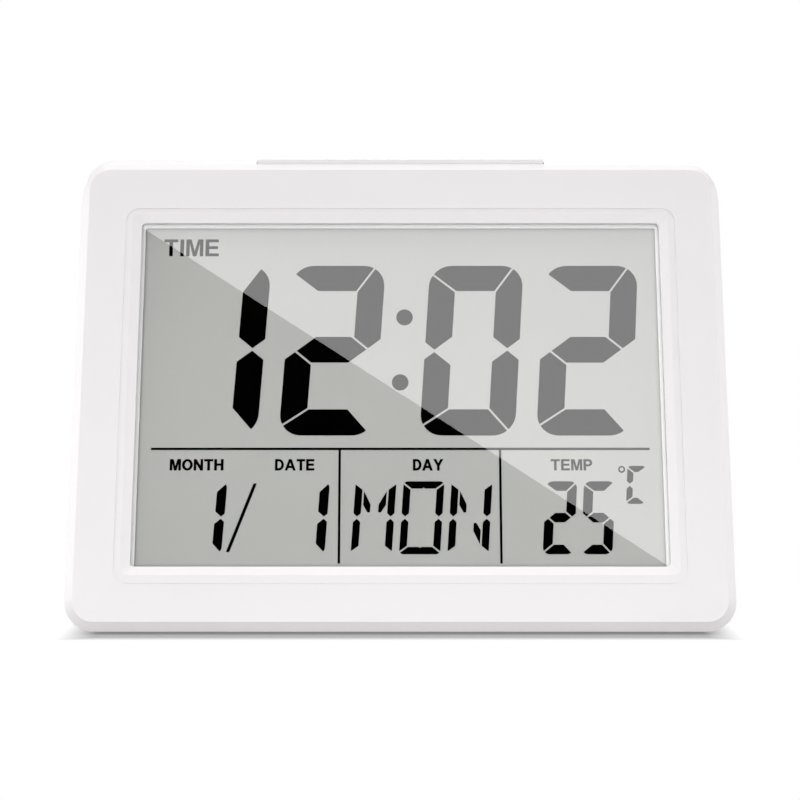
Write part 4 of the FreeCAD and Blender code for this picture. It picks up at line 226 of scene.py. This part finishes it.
def platedMetal(name, look):
    # bright plating with spots of another tone, and fine lines that are drawn out by the stretch
    material = newMaterial(name)
    spotLow, spotHigh = platedSkin["spotRange"]
    swing = platedSkin["glossSwing"]
    place = addNode(material, "ShaderNodeTexCoord").outputs["Object"]
    stretched = addNode(material, "ShaderNodeMapping", {"Scale": look["stretch"]},
                        {"Vector": place}).outputs["Vector"]
    lines = addNode(material, "ShaderNodeTexNoise",
                    {"Scale": perMetre(look["lineSize"]), "Detail": platedSkin["lineDetail"]},
                    {"Vector": stretched}).outputs["Fac"]
    spots = addNode(material, "ShaderNodeTexNoise",
                    {"Scale": perMetre(look["spotSize"]), "Detail": platedSkin["spotDetail"]},
                    {"Vector": place}).outputs["Fac"]
    colour = addNode(material, "ShaderNodeValToRGB",
                     {"stops": [(spotLow, look["shade"]), (spotHigh, look["colour"])]},
                     {"Fac": spots}).outputs["Color"]
    gloss = addNode(material, "ShaderNodeMapRange", {"To Min": look["roughness"] - swing,
                                                     "To Max": look["roughness"] + swing},
                    {"Value": lines}).outputs["Result"]
    bump = addNode(material, "ShaderNodeBump", {"Strength": platedSkin["lineStrength"],
                                                "Distance": platedSkin["lineDepth"] * mm},
                   {"Height": lines}).outputs["Normal"]
    shader = addNode(material, "ShaderNodeBsdfPrincipled", {"Metallic": 1.0},
                     {"Base Color": colour, "Roughness": gloss, "Normal": bump})
    addNode(material, "ShaderNodeOutputMaterial", links={"Surface": shader.outputs[0]})
    return material


# Nickel on drawn steel: warm white and bright, with drawing lines along x.
nickelPlate = platedMetal("nickelPlatedSteel", {
    "colour": "cfc9bd", "shade": "b9b2a4", "spotSize": 2.5,
    "lineSize": 0.2, "stretch": (0.1, 1, 1), "roughness": 0.28})
# Bare drawn spring wire: a cooler grey with small darker spots and short upright lines.
springSteel = platedMetal("drawnSpringSteel", {
    "colour": "bfc0c2", "shade": "9fa1a4", "spotSize": 0.8,
    "lineSize": 0.15, "stretch": (1, 1, 0.3), "roughness": 0.32})
# Zinc on the screws: bluish and duller, the same in all directions.
zincPlate = platedMetal("zincPlatedSteel", {
    "colour": "c3c8ce", "shade": "a5abb3", "spotSize": 1.1,
    "lineSize": 0.25, "stretch": (1, 1, 1), "roughness": 0.38})
# Tinned steel of the pressed cans: bright, with the lines of the rolled sheet upright.
canSteel = platedMetal("crystalTinnedCan", {
    "colour": "d3d4d6", "shade": "bcbec1", "spotSize": 1.5,
    "lineSize": 0.3, "stretch": (1, 1, 0.2), "roughness": 0.3})
print("metals made")


# Tracks and the fields between them are shares of the pitch, and the copper and the weave are in mm.
laminate = {"trackWidth": 0.12, "fieldLength": 4.0, "fieldWidth": 1.0, "copperDepth": 0.035,
            "copperStrength": 0.5, "weaveSize": 0.5, "weaveDetail": 2, "roughness": (0.25, 0.5), "ior": 1.55}


def laminateBoard(name, look):
    # solder mask over copper: the tracks show as slightly lighter, raised bands
    material = newMaterial(name)
    smooth, rough = laminate["roughness"]
    place = addNode(material, "ShaderNodeTexCoord").outputs["Object"]
    turned = addNode(material, "ShaderNodeMapping", {"Rotation": look["turn"]},
                     {"Vector": place}).outputs["Vector"]
    tracks = addNode(material, "ShaderNodeTexBrick", {
        "Scale": perMetre(look["trackPitch"]), "Mortar Size": laminate["trackWidth"],
        "Brick Width": laminate["fieldLength"], "Row Height": laminate["fieldWidth"],
        "Color1": linearColour(look["mask"]), "Color2": linearColour(look["maskOther"]),
        "Mortar": linearColour(look["track"])}, {"Vector": turned})
    weave = addNode(material, "ShaderNodeTexNoise",
                    {"Scale": perMetre(laminate["weaveSize"]), "Detail": laminate["weaveDetail"]},
                    {"Vector": place}).outputs["Fac"]
    bump = addNode(material, "ShaderNodeBump", {"Strength": laminate["copperStrength"],
                                                "Distance": laminate["copperDepth"] * mm},
                   {"Height": tracks.outputs["Fac"]}).outputs["Normal"]
    gloss = addNode(material, "ShaderNodeMapRange", {"To Min": smooth, "To Max": rough},
                    {"Value": weave}).outputs["Result"]
    shader = addNode(material, "ShaderNodeBsdfPrincipled", {"IOR": laminate["ior"]},
                     {"Base Color": tracks.outputs["Color"], "Roughness": gloss, "Normal": bump})
    addNode(material, "ShaderNodeOutputMaterial", links={"Surface": shader.outputs[0]})
    return material


# Glass epoxy under green solder mask for the display board, which leans with the front.
greenBoard = laminateBoard("glassEpoxyBoard", {
    "mask": "1f5a36", "maskOther": "23613b", "track": "3a8a55",
    "trackPitch": 1.6, "turn": (math.pi / 2 + lean, 0, 0)})
# Brown paper phenolic for the small upright boards.
brownBoard = laminateBoard("paperPhenolicBoard", {
    "mask": "a87a45", "maskOther": "a1733f", "track": "c99a5c",
    "trackPitch": 1.9, "turn": (math.pi / 2, 0, 0)})
print("boards made")

waveDivisor = 20  # a wave texture of scale 1 has this many radians in a metre


def stripedMaterial(name, look):
    # even stripes across one direction
    material = newMaterial(name)
    place = addNode(material, "ShaderNodeTexCoord").outputs["Object"]
    wave = addNode(material, "ShaderNodeTexWave", {
        "wave_type": "BANDS", "bands_direction": look["direction"], "wave_profile": "SIN",
        "Scale": perMetre(look["pitch"]) / waveDivisor * 2 * math.pi, "Distortion": 0.0},
                   {"Vector": place}).outputs["Fac"]
    colour = addNode(material, "ShaderNodeValToRGB", {"stops": look["stops"]},
                     {"Fac": wave}).outputs["Color"]
    bump = addNode(material, "ShaderNodeBump", {"Strength": look["ridgeStrength"],
                                                "Distance": look["ridge"] * mm},
                   {"Height": wave}).outputs["Normal"]
    shader = addNode(material, "ShaderNodeBsdfPrincipled", {"Roughness": look["roughness"],
                                                            "IOR": look["ior"]},
                     {"Base Color": colour, "Normal": bump})
    addNode(material, "ShaderNodeOutputMaterial", links={"Surface": shader.outputs[0]})
    return material


# Zebra strip: silicone with carbon layers 0.1 mm apart, drawn 0.6 mm apart.
zebraSilicone = stripedMaterial("zebraSilicone", {
    "direction": "X", "pitch": 0.6, "ridge": 0.01, "ridgeStrength": 0.6, "roughness": 0.6, "ior": 1.5,
    "stops": [(0.45, "1b1b1d"), (0.55, "c9a7a0")]})
# Ribbon cable: grey PVC with a ridge for each wire, 1.27 mm apart.
ribbonPvc = stripedMaterial("ribbonPvc", {
    "direction": "X", "pitch": 1.27, "ridge": 0.15, "ridgeStrength": 0.6, "roughness": 0.45, "ior": 1.5,
    "stops": [(0.0, "6f7072"), (0.6, "9b9c9e")]})


def roundZones(name, centre, look):
    # rings of different colour round an axis, each from its own radius in mm outwards
    material = newMaterial(name)
    place = addNode(material, "ShaderNodeTexCoord").outputs["Object"]
    flat = [0 if look["axis"] == letter else 1 for letter in "XYZ"]
    reach = look["zones"][-1][0]
    near = addNode(material, "ShaderNodeVectorMath", {"operation": "SUBTRACT", 1: centre},
                   {0: place}).outputs["Vector"]
    near = addNode(material, "ShaderNodeVectorMath", {"operation": "MULTIPLY", 1: flat},
                   {0: near}).outputs["Vector"]
    away = addNode(material, "ShaderNodeVectorMath", {"operation": "LENGTH"}, {0: near}).outputs["Value"]
    share = addNode(material, "ShaderNodeMapRange", {"From Max": reach * mm},
                    {"Value": away}).outputs[0]
    stops = [(start / reach, colour) for start, colour in look["zones"]]
    colour = addNode(material, "ShaderNodeValToRGB", {"stops": stops, "rampKind": "CONSTANT"},
                     {"Fac": share}).outputs["Color"]
    grain = addNode(material, "ShaderNodeTexNoise",
                    {"Scale": perMetre(look["grainSize"]), "Detail": look["grainDetail"]},
                    {"Vector": place}).outputs["Fac"]
    bump = addNode(material, "ShaderNodeBump", {"Strength": look["grainStrength"],
                                                "Distance": look["grainDepth"] * mm},
                   {"Height": grain}).outputs["Normal"]
    shader = addNode(material, "ShaderNodeBsdfPrincipled", {"Metallic": look["metallic"],
                                                            "Roughness": look["roughness"]},
                     {"Base Color": colour, "Normal": bump})
    addNode(material, "ShaderNodeOutputMaterial", links={"Surface": shader.outputs[0]})
    return material


# Piezo sounder: a silvered ceramic disc with a bare pale edge, on a rolled brass plate.
sounderBrass = roundZones("sounderBrass", middle("piezo_sounder"), {
    "axis": "Y", "zones": [(0.0, "d9d4c8"), (6.6, "e9e6df"), (7.0, "c8a24a"), (10.0, "b8923e")],
    "metallic": 0.7, "roughness": 0.35,
    "grainSize": 0.4, "grainDetail": 3, "grainStrength": 0.3, "grainDepth": 0.01})


def seeThrough(name, look):
    # light passes straight on, and front faces mirror by their angle
    material = newMaterial(name)
    clear = addNode(material, "ShaderNodeBsdfTransparent", {"Color": linearColour(look["tint"])})
    mirror = addNode(material, "ShaderNodeBsdfGlossy", {"Color": linearColour(look["mirror"]),
                                                        "Roughness": look["roughness"]})
    facing = addNode(material, "ShaderNodeFresnel", {"IOR": look["mirrorIor"]})
    back = addNode(material, "ShaderNodeNewGeometry").outputs["Backfacing"]
    front = addNode(material, "ShaderNodeMath", {"operation": "SUBTRACT", 0: 1}, {1: back})
    share = addNode(material, "ShaderNodeMath", {"operation": "MULTIPLY"},
                    {0: facing.outputs[0], 1: front.outputs[0]})
    shader = addNode(material, "ShaderNodeMixShader", links={0: share.outputs[0], 1: clear.outputs[0],
                                                             2: mirror.outputs[0]})
    addNode(material, "ShaderNodeOutputMaterial", links={"Surface": shader.outputs[0]})
    return material


# Cast acrylic window: water clear. Its two faces mirror 8 % together, drawn at the front one.
windowPmma = seeThrough("windowCastAcrylic", {
    "tint": "ffffff", "mirror": "ffffff", "roughness": 0.0, "mirrorIor": 1.79})
# Front glass of the display under a matt polariser, which takes its mirror away.
frontGlass = seeThrough("displayFrontGlass", {
    "tint": "fefefe", "mirror": "ffffff", "roughness": 0.0, "mirrorIor": 1.0})
print("stripes, rings and clear sheets made")


def dress(material, *nodes):
    for node in nodes:
        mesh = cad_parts[node].data
        mesh.materials.clear()
        mesh.materials.append(material)


dress(frontAbs, "front_housing")
dress(rearAbs, "rear_housing", "battery_door")
dress(keyAbs, "snooze_bar", "time_button", "alarm_button", "up_button", "down_button", "unit_button",
      "alarm_switch_knob")
dress(frameStyrene, "display_frame")
dress(windowPmma, "display_window")
dress(foamTape, "window_adhesive")
dress(frontGlass, "lcd_front_glass")
dress(displayGround, "lcd_rear_glass")
dress(reflectorFilm, "lcd_reflector_film")
dress(segmentBlack, "lcd_time_digits", "lcd_calendar_digits", "lcd_temperature_digits", "lcd_rules")
dress(guideAcrylic, "light_guide")
dress(ledPhosphor, "backlight_led")
dress(greenBoard, "display_board")
dress(brownBoard, "key_board", "snooze_board")
dress(zebraSilicone, "connector_strip")
dress(blackEpoxy, "controller_chip", "temperature_sensor")
dress(circuitCeramic, "circuit_components")
dress(canSteel, "quartz_crystal", "slide_switch")
dress(nickelPlate, "battery_springs", "battery_plates")
dress(springSteel, "snooze_springs")
dress(zincPlate, "display_screws", "key_board_screws", "case_screws")
dress(switchNylon, "snooze_switch", "tact_switches", "slide_switch_lever")
dress(sounderBrass, "piezo_sounder")
dress(ribbonPvc, "ribbon_cable")
dress(footSilicone, "rubber_feet")
print("materials given to", len(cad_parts), "nodes")


# Each letter is its outlines on a cap height of 1: corners as pairs, and an arc as (middle, radii, turns).
letterShapes = {
    "T": [[(0, 1), (0, 0.835), (0.287, 0.835), (0.287, 0), (0.493, 0), (0.493, 0.835), (0.78, 0.835),
           (0.78, 1)]],
    "I": [[(0, 0), (0.206, 0), (0.206, 1), (0, 1)]],
    "E": [[(0, 0), (0.75, 0), (0.75, 0.165), (0.206, 0.165), (0.206, 0.43), (0.7, 0.43), (0.7, 0.595),
           (0.206, 0.595), (0.206, 0.835), (0.735, 0.835), (0.735, 1), (0, 1)]],
    "M": [[(0, 0), (0.19, 0), (0.19, 0.77), (0.385, 0), (0.575, 0), (0.77, 0.77), (0.77, 0), (0.96, 0),
           (0.96, 1), (0.67, 1), (0.48, 0.29), (0.29, 1), (0, 1)]],
    "N": [[(0, 0), (0.19, 0), (0.19, 0.66), (0.6, 0), (0.8, 0), (0.8, 1), (0.61, 1), (0.61, 0.35),
           (0.2, 1), (0, 1)]],
    "H": [[(0, 0), (0.206, 0), (0.206, 0.43), (0.594, 0.43), (0.594, 0), (0.8, 0), (0.8, 1), (0.594, 1),
           (0.594, 0.6), (0.206, 0.6), (0.206, 1), (0, 1)]],
    "A": [[(0, 0), (0.215, 0), (0.295, 0.22), (0.705, 0.22), (0.785, 0), (1, 0), (0.61, 1), (0.39, 1)],
          [(0.355, 0.385), (0.645, 0.385), (0.5, 0.77)]],
    "Y": [[(0.362, 0), (0.568, 0), (0.568, 0.41), (0.93, 1), (0.7, 1), (0.465, 0.6), (0.23, 1), (0, 1),
           (0.362, 0.41)]],
    "D": [[(0, 0), ((0.36, 0.5), (0.46, 0.5), 0.5), (0, 1)],
          [(0.206, 0.165), ((0.35, 0.5), (0.255, 0.335), 0.5), (0.206, 0.835)]],
    "P": [[(0, 0), (0.206, 0), (0.206, 0.37), ((0.44, 0.685), (0.32, 0.315), 0.5), (0, 1)],
          [(0.206, 0.535), ((0.42, 0.685), (0.13, 0.15), 0.5), (0.206, 0.835)]],
    "O": [[((0.47, 0.5), (0.47, 0.51), 1)], [((0.47, 0.5), (0.26, 0.345), 1)]],
}
# The gap is on that cap height too, arcSteps is for a whole turn, and the thickness is in mm.
wordPrint = {"letterGap": 0.13, "arcSteps": 14, "thickness": 0.05}
words = {  # letters, then left, right, foot and top in mm from the window's middle, then how bold
    "timeWord": ("TIME", -69.6, -53.5, 41.76, 46.95, 0),
    "monthWord": ("MONTH", -65.9, -50.65, -22.6, -19.4, 0.023),
    "dateWord": ("DATE", -35.8, -24.65, -22.6, -19.4, 0.024),
    "dayWord": ("DAY", 3.68, 12.2, -22.6, -19.4, 0.03),
    "temperatureWord": ("TEMP", 43.1, 54.9, -22.6, -19.4, 0.007),
}
segmentDepth = (paneMiddle - middle("lcd_rules")).dot(outward) / mm
mergeGap = 1e-6  # in metres: points of a mesh that are closer are made one


def closeMesh():
    # joins the active mesh where its points meet, and turns its faces outwards
    bpy.ops.object.mode_set(mode="EDIT")
    bpy.ops.mesh.select_all(action="SELECT")
    bpy.ops.mesh.remove_doubles(threshold=mergeGap)
    bpy.ops.mesh.normals_make_consistent(inside=False)
    bpy.ops.object.mode_set(mode="OBJECT")


def outlinePoints(outline):
    points = []
    for step in outline:
        if len(step) == 2:
            points.append(step)
            continue
        (x, y), (wide, tall), turns = step
        steps = round(wordPrint["arcSteps"] * turns)
        for index in range(steps + (turns < 1)):  # an open arc has its last point too
            angle = 2 * math.pi * turns * index / steps - math.pi / 2
            points.append((x + wide * math.cos(angle), y + tall * math.sin(angle)))
    return points


def printedWord(name, letters, left, right, low, high, bold):
    # the letters are drawn flat on a cap height of 1, then fitted between the given edges of the display
    flat = bpy.data.curves.new(name, "CURVE")
    flat.dimensions = "2D"
    flat.fill_mode = "BOTH"
    flat.extrude = 1  # to both sides, so the fit below halves the thickness
    flat.offset = bold
    reach = 0
    for letter in letters:
        outlines = [outlinePoints(outline) for outline in letterShapes[letter]]
        for hole in outlines[1:]:
            hole.reverse()
        for points in outlines:
            spline = flat.splines.new("POLY")
            spline.points.add(len(points) - 1)
            spline.use_cyclic_u = True
            for corner, (x, y) in zip(spline.points, points):
                corner.co = (reach + x, y, 0, 1)
        reach += max(x for x, y in outlines[0]) + wordPrint["letterGap"]
    reach -= wordPrint["letterGap"]
    piece = bpy.data.objects.new(name, flat)
    bpy.context.scene.collection.objects.link(piece)
    bpy.ops.object.select_all(action="DESELECT")
    piece.select_set(True)
    bpy.context.view_layer.objects.active = piece
    bpy.ops.object.convert(target="MESH")
    piece = bpy.context.object
    fit = Matrix.Diagonal(((right - left) * mm / reach, (high - low) * mm,
                           wordPrint["thickness"] * mm / 2, 1))
    turn = Matrix.Rotation(math.pi / 2 - lean, 4, "X")
    piece.data.transform(Matrix.Translation(facePoint(left, low, segmentDepth)) @ turn @ fit)
    closeMesh()
    piece.data.materials.append(segmentBlack)
    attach(piece, "clock")


for name, settings in words.items():
    printedWord(name, *settings)
print("words placed")

# Legends printed on the sunk panel at the back, each above its key or to a side of the slide, in mm.
legendPrint = {"capHeight": 2.0, "rise": 0.06, "sunk": 0.05, "wall": 28.0, "foot": 107.0,
               "finish": legendInk, "slot": "black_epoxy"}
legends = {  # letters, the piece they belong to, and how far to its side in mm
    "timeLegend": ("TIME", "time_button", 0),
    "alarmLegend": ("ALARM", "alarm_button", 0),
    "upLegend": ("UP", "up_button", 0),
    "downLegend": ("DOWN", "down_button", 0),
    "unitLegend": ("\u00b0C/\u00b0F", "unit_button", 0),
    "offLegend": ("OFF", "alarm_switch_knob", -3.5),
    "onLegend": ("ON", "alarm_switch_knob", 5.0),
}
# Polarity marks moulded on the floor of the battery bay, where each cell's ends lie.
polarityMould = {"capHeight": 4.5, "rise": 0.45, "sunk": 0.05, "wall": 11.55,
                 "finish": rearAbs, "slot": "white_abs"}
polarityMarks = {  # mark, its place across and its foot in mm
    "upperPlus": ("+", 20, 35.7),
    "upperMinus": ("\u2212", -14, 35.7),
    "lowerPlus": ("+", -20, 20.4),
    "lowerMinus": ("\u2212", 14, 20.4),
}
capShare = 0.73  # cap height of the built-in letters against their size


def backLetters(name, letters, across, foot, look):
    bpy.ops.object.select_all(action="DESELECT")
    bpy.ops.object.text_add()
    bpy.context.object.name = name
    bpy.context.object.data.body = letters
    bpy.context.object.data.align_x = "CENTER"
    bpy.context.object.data.extrude = 0.5  # to both sides, so the letters are 1 thick before they are fitted
    bpy.ops.object.convert(target="MESH")
    piece = bpy.context.object
    size = look["capHeight"] * mm / capShare
    deep = (look["rise"] + look["sunk"]) * mm
    place = Vector((across, (look["wall"] - look["sunk"]) * mm + deep / 2, foot))
    turn = Matrix(((-1, 0, 0, 0), (0, 0, 1, 0), (0, 1, 0, 0), (0, 0, 0, 1)))  # to be read from behind
    piece.data.transform(Matrix.Translation(place) @ turn @ Matrix.Diagonal((size, size, deep, 1)))
    closeMesh()
    piece.data.materials.append(look["finish"])
    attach(piece, "clock")


for name, (letters, node, aside) in legends.items():
    backLetters(name, letters, middle(node).x + aside * mm, legendPrint["foot"] * mm, legendPrint)
for name, (mark, across, foot) in polarityMarks.items():
    backLetters(name, mark, across * mm, foot * mm, polarityMould)
print("legends and polarity marks placed")

# The two springs under the snooze bar, coiled at their rest length. Radii and press are in mm.
barSprings = {"radius": 2.0, "wireRadius": 0.2, "turns": 5, "turnSteps": 28, "wireSides": 12, "press": 1.0}
low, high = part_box("snooze_springs")
wire = barSprings["wireRadius"] * mm
side = high.x - barSprings["radius"] * mm - wire
bpy.ops.object.select_all(action="DESELECT")
bpy.ops.mesh.primitive_circle_add(vertices=barSprings["wireSides"], radius=wire,
                                  location=(barSprings["radius"] * mm, 0, 0),
                                  rotation=(math.pi / 2, 0, 0))
pressSprings = bpy.context.object
pressSprings.name = "pressSprings"
bpy.ops.object.transform_apply()
screw = pressSprings.modifiers.new("turns", "SCREW")
screw.iterations = barSprings["turns"]
screw.screw_offset = (high.z - low.z - 2 * wire) / barSprings["turns"]
screw.steps = screw.render_steps = barSprings["turnSteps"]
bpy.ops.object.modifier_apply(modifier=screw.name)
pressSprings.data.transform(Matrix.Translation((-side, (low.y + high.y) / 2, low.z + wire)))
bpy.ops.object.mode_set(mode="EDIT")
bpy.ops.mesh.select_all(action="SELECT")
bpy.ops.mesh.remove_doubles(threshold=mergeGap)
bpy.ops.mesh.fill_holes(sides=0)
bpy.ops.mesh.duplicate()
bpy.ops.transform.translate(value=(2 * side, 0, 0))
bpy.ops.mesh.select_all(action="SELECT")
bpy.ops.mesh.normals_make_consistent(inside=False)
bpy.ops.object.mode_set(mode="OBJECT")
bpy.ops.object.shade_smooth_by_angle()
pressSprings.data.materials.append(springSteel)
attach(pressSprings, "clock")
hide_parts("snooze_springs")
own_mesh(pressSprings)
print("springs coiled")

camera = {"place": (-0.086, -530.7, 91.77), "tilt": -3.0, "lens": 81.9, "sensor": 36.0}  # mm and degrees
bpy.ops.object.camera_add(location=[number * mm for number in camera["place"]],
                          rotation=(math.radians(90 + camera["tilt"]), 0, 0))
bpy.context.object.data.lens = camera["lens"]
bpy.context.object.data.sensor_width = camera["sensor"]
bpy.context.scene.camera = bpy.context.object
cameraPlace = Vector(bpy.context.object.location)


def lamp(name, place, aim, width, height, power):
    bpy.ops.object.light_add(type="AREA", location=place)
    light = bpy.context.object
    light.name = name
    light.data.shape = "RECTANGLE"
    light.data.size = width
    light.data.size_y = height
    light.data.energy = power
    light.visible_camera = False
    light.rotation_euler = (Vector(aim) - Vector(place)).to_track_quat("-Z", "Y").to_euler()


lampAim = (0, 0, 0.07)  # about half the clock's height
lamps = {  # place, aim, width and height in metres, power in watts
    "topLamp": ((0, -0.1, 1.3), lampAim, 1.2, 0.9, 5.4),
    "backTopLamp": ((0, 0.7, 1.2), lampAim, 1.2, 0.8, 2.6),
    "leftLamp": ((-1.3, -0.4, 0.5), lampAim, 0.8, 0.8, 2.4),
    "leftSideLamp": ((-1.3, 0, 0.4), lampAim, 0.6, 0.6, 3.2),
    "rightSideLamp": ((1.3, 0, 0.4), lampAim, 0.6, 0.6, 2.9),
    "frontLamp": ((0, -1.3, 1.0), lampAim, 1.0, 0.5, 3.9),
    "middleLamp": ((0, -1.2, 0.25), lampAim, 1.0, 0.3, 1.9),
    "lowLamp": ((0, -0.33, 0.04), (0, 0, 0), 0.5, 0.06, 0.42),
    "rearLamp": ((0.4, 1.2, 0.7), lampAim, 1.0, 1.0, 9),
}
for name, settings in lamps.items():
    lamp(name, *settings)
print("camera and lamps set")

# The world's soft light, then the floor: its colour where it is seen, a grey that paints a shade ring round
# the clock beside its real shadow, its glow there, its colour where it only bounces light, its size in
# metres, and how far beyond the clock that painted shade fades to white in mm.
studio = {"soft": 0.24, "floor": "979797", "floorLift": 0.2, "floorBounce": "999999",
          "floorRadius": 6, "floorSides": 64, "fade": {"X": (-9.0, 0.4), "Y": (3.3, 7.5)}}
plainWhite = {"Color": linearColour("ffffff"), "Strength": 1.0}


def seenDirectly(material):
    # 1 where a surface is looked at, mirrored or seen through something clear, 0 where it only lights
    path = addNode(material, "ShaderNodeLightPath").outputs
    looked = addNode(material, "ShaderNodeMath", {"operation": "MAXIMUM"},
                     {0: path["Is Camera Ray"], 1: path["Is Glossy Ray"]}).outputs[0]
    return addNode(material, "ShaderNodeMath", {"operation": "MAXIMUM"},
                   {0: looked, 1: path["Is Transmission Ray"]}).outputs[0]


world = bpy.data.worlds.new("studio")
bpy.context.scene.world = world
world.use_nodes = True
world.node_tree.nodes.clear()
seen = seenDirectly(world)
soft = addNode(world, "ShaderNodeBackground", plainWhite | {"Strength": studio["soft"]})
white = addNode(world, "ShaderNodeBackground", plainWhite)
mixed = addNode(world, "ShaderNodeMixShader", links={0: seen, 1: soft.outputs[0], 2: white.outputs[0]})
addNode(world, "ShaderNodeOutputWorld", links={"Surface": mixed.outputs[0]})

# Paper that is grey near the clock, a painted shade ring that the clock's real shadow also falls on, and
# turns plain white a little way out.
floorPaper = newMaterial("floorPaper")
seen = seenDirectly(floorPaper)
paper = addNode(floorPaper, "ShaderNodeBsdfDiffuse", {"Color": linearColour(studio["floorBounce"])})
# Painted shade: this grey paper is seen only near the clock and fades to white further out. The lamps' real
# shadow falls on it too.
paintedShadePaper = addNode(floorPaper, "ShaderNodeBsdfDiffuse", {"Color": linearColour(studio["floor"])})
glow = addNode(floorPaper, "ShaderNodeEmission", plainWhite | {"Strength": studio["floorLift"]})
shown = addNode(floorPaper, "ShaderNodeAddShader", links={0: paintedShadePaper.outputs[0], 1: glow.outputs[0]})
place = addNode(floorPaper, "ShaderNodeTexCoord").outputs["Object"]
fades = []
for axis, edge in (("X", cadHigh.x), ("Y", cadHigh.y)):
    start, end = studio["fade"][axis]
    part = addNode(floorPaper, "ShaderNodeSeparateXYZ", links={0: place}).outputs[axis]
    away = addNode(floorPaper, "ShaderNodeMath", {"operation": "ABSOLUTE"}, {0: part}).outputs[0]
    fades.append(addNode(floorPaper, "ShaderNodeMapRange", {"From Min": edge + start * mm,
                                                            "From Max": edge + end * mm},
                         {"Value": away}).outputs[0])
fade = addNode(floorPaper, "ShaderNodeMath", {"operation": "MAXIMUM"},
               {0: fades[0], 1: fades[1]}).outputs[0]
farWhite = addNode(floorPaper, "ShaderNodeEmission", plainWhite)
shown = addNode(floorPaper, "ShaderNodeMixShader",
                links={0: fade, 1: shown.outputs[0], 2: farWhite.outputs[0]})
both = addNode(floorPaper, "ShaderNodeMixShader",
               links={0: seen, 1: paper.outputs[0], 2: shown.outputs[0]})
addNode(floorPaper, "ShaderNodeOutputMaterial", links={"Surface": both.outputs[0]})
bpy.ops.object.select_all(action="DESELECT")
bpy.ops.mesh.primitive_circle_add(vertices=studio["floorSides"], radius=studio["floorRadius"],
                                  fill_type="NGON")
floor = bpy.context.object
floor.name = "floor"
floor.data.materials.append(floorPaper)
floor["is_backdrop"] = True

# A light card and a dark card stand in front: the window mirrors the light card's edge as a slanting line.
# The ends of that line and its light side are pixels of a square image, and the lengths are metres.
glare = {"edgeLow": (666, 564.6), "edgeHigh": (147, 230.7), "lightSide": (666, 228), "imageMiddle": 400,
         "away": 0.9, "reach": 0.3, "endPast": 0.03, "strength": 2.7, "darkAway": 1.1, "darkReach": 1.5}
pixelsPerUnit = 2 * glare["imageMiddle"] * camera["lens"] / camera["sensor"]
cameraTurn = bpy.context.scene.camera.rotation_euler.to_matrix()
panePlace = paneMiddle + outward * paneFront


def paneMirror(pixel, away):
    # where a ray through this pixel ends after the window mirrors it, this far in front of the window
    ray = cameraTurn @ Vector(((pixel[0] - glare["imageMiddle"]) / pixelsPerUnit,
                               (glare["imageMiddle"] - pixel[1]) / pixelsPerUnit, -1))
    hit = cameraPlace + ray * ((panePlace - cameraPlace).dot(outward) / ray.dot(outward))
    bounced = ray - 2 * ray.dot(outward) * outward
    return hit + bounced * (away / bounced.dot(outward))


def card(name, corners, material):
    bpy.ops.object.select_all(action="DESELECT")
    bpy.ops.mesh.primitive_plane_add(size=1)
    piece = bpy.context.object
    piece.name = name
    for corner, place in zip(piece.data.vertices, corners):
        corner.co = place
    piece.data.materials.append(material)
    piece.visible_camera = False
    piece.visible_diffuse = False
    piece.visible_transmission = False
    piece.visible_shadow = False
    piece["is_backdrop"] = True
    return piece


cardLight = newMaterial("cardLight")
glow = addNode(cardLight, "ShaderNodeEmission", plainWhite | {"Strength": glare["strength"]})
addNode(cardLight, "ShaderNodeOutputMaterial", links={"Surface": glow.outputs[0]})
cardDark = newMaterial("cardDark")
felt = addNode(cardDark, "ShaderNodeBsdfDiffuse", {"Color": linearColour("000000")})
addNode(cardDark, "ShaderNodeOutputMaterial", links={"Surface": felt.outputs[0]})

lowEnd = paneMirror(glare["edgeLow"], glare["away"])
highEnd = paneMirror(glare["edgeHigh"], glare["away"])
along = (highEnd - lowEnd).normalized()
aside = along.cross(outward).normalized()
if (paneMirror(glare["lightSide"], glare["away"]) - lowEnd).dot(aside) < 0:
    aside = -aside
lowEnd -= along * glare["endPast"]
highEnd += along * glare["endPast"]
width = aside * glare["reach"]
lightCard = card("lightCard", (lowEnd, highEnd, lowEnd + width, highEnd + width), cardLight)
centre = paneMirror((glare["imageMiddle"], glare["imageMiddle"]), glare["darkAway"])
sideways = Vector((1, 0, 0)) * glare["darkReach"]
upright = outward.cross(Vector((1, 0, 0))).normalized() * glare["darkReach"]
card("darkCard", (centre - sideways - upright, centre + sideways - upright,
                  centre - sideways + upright, centre + sideways + upright), cardDark)
mirrored = bpy.data.collections.new("mirrored")
mirrored.objects.link(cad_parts["display_window"])
lightCard.light_linking.receiver_collection = mirrored
print("floor and cards set")

bpy.context.scene.view_settings.view_transform = "Standard"

low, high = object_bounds()
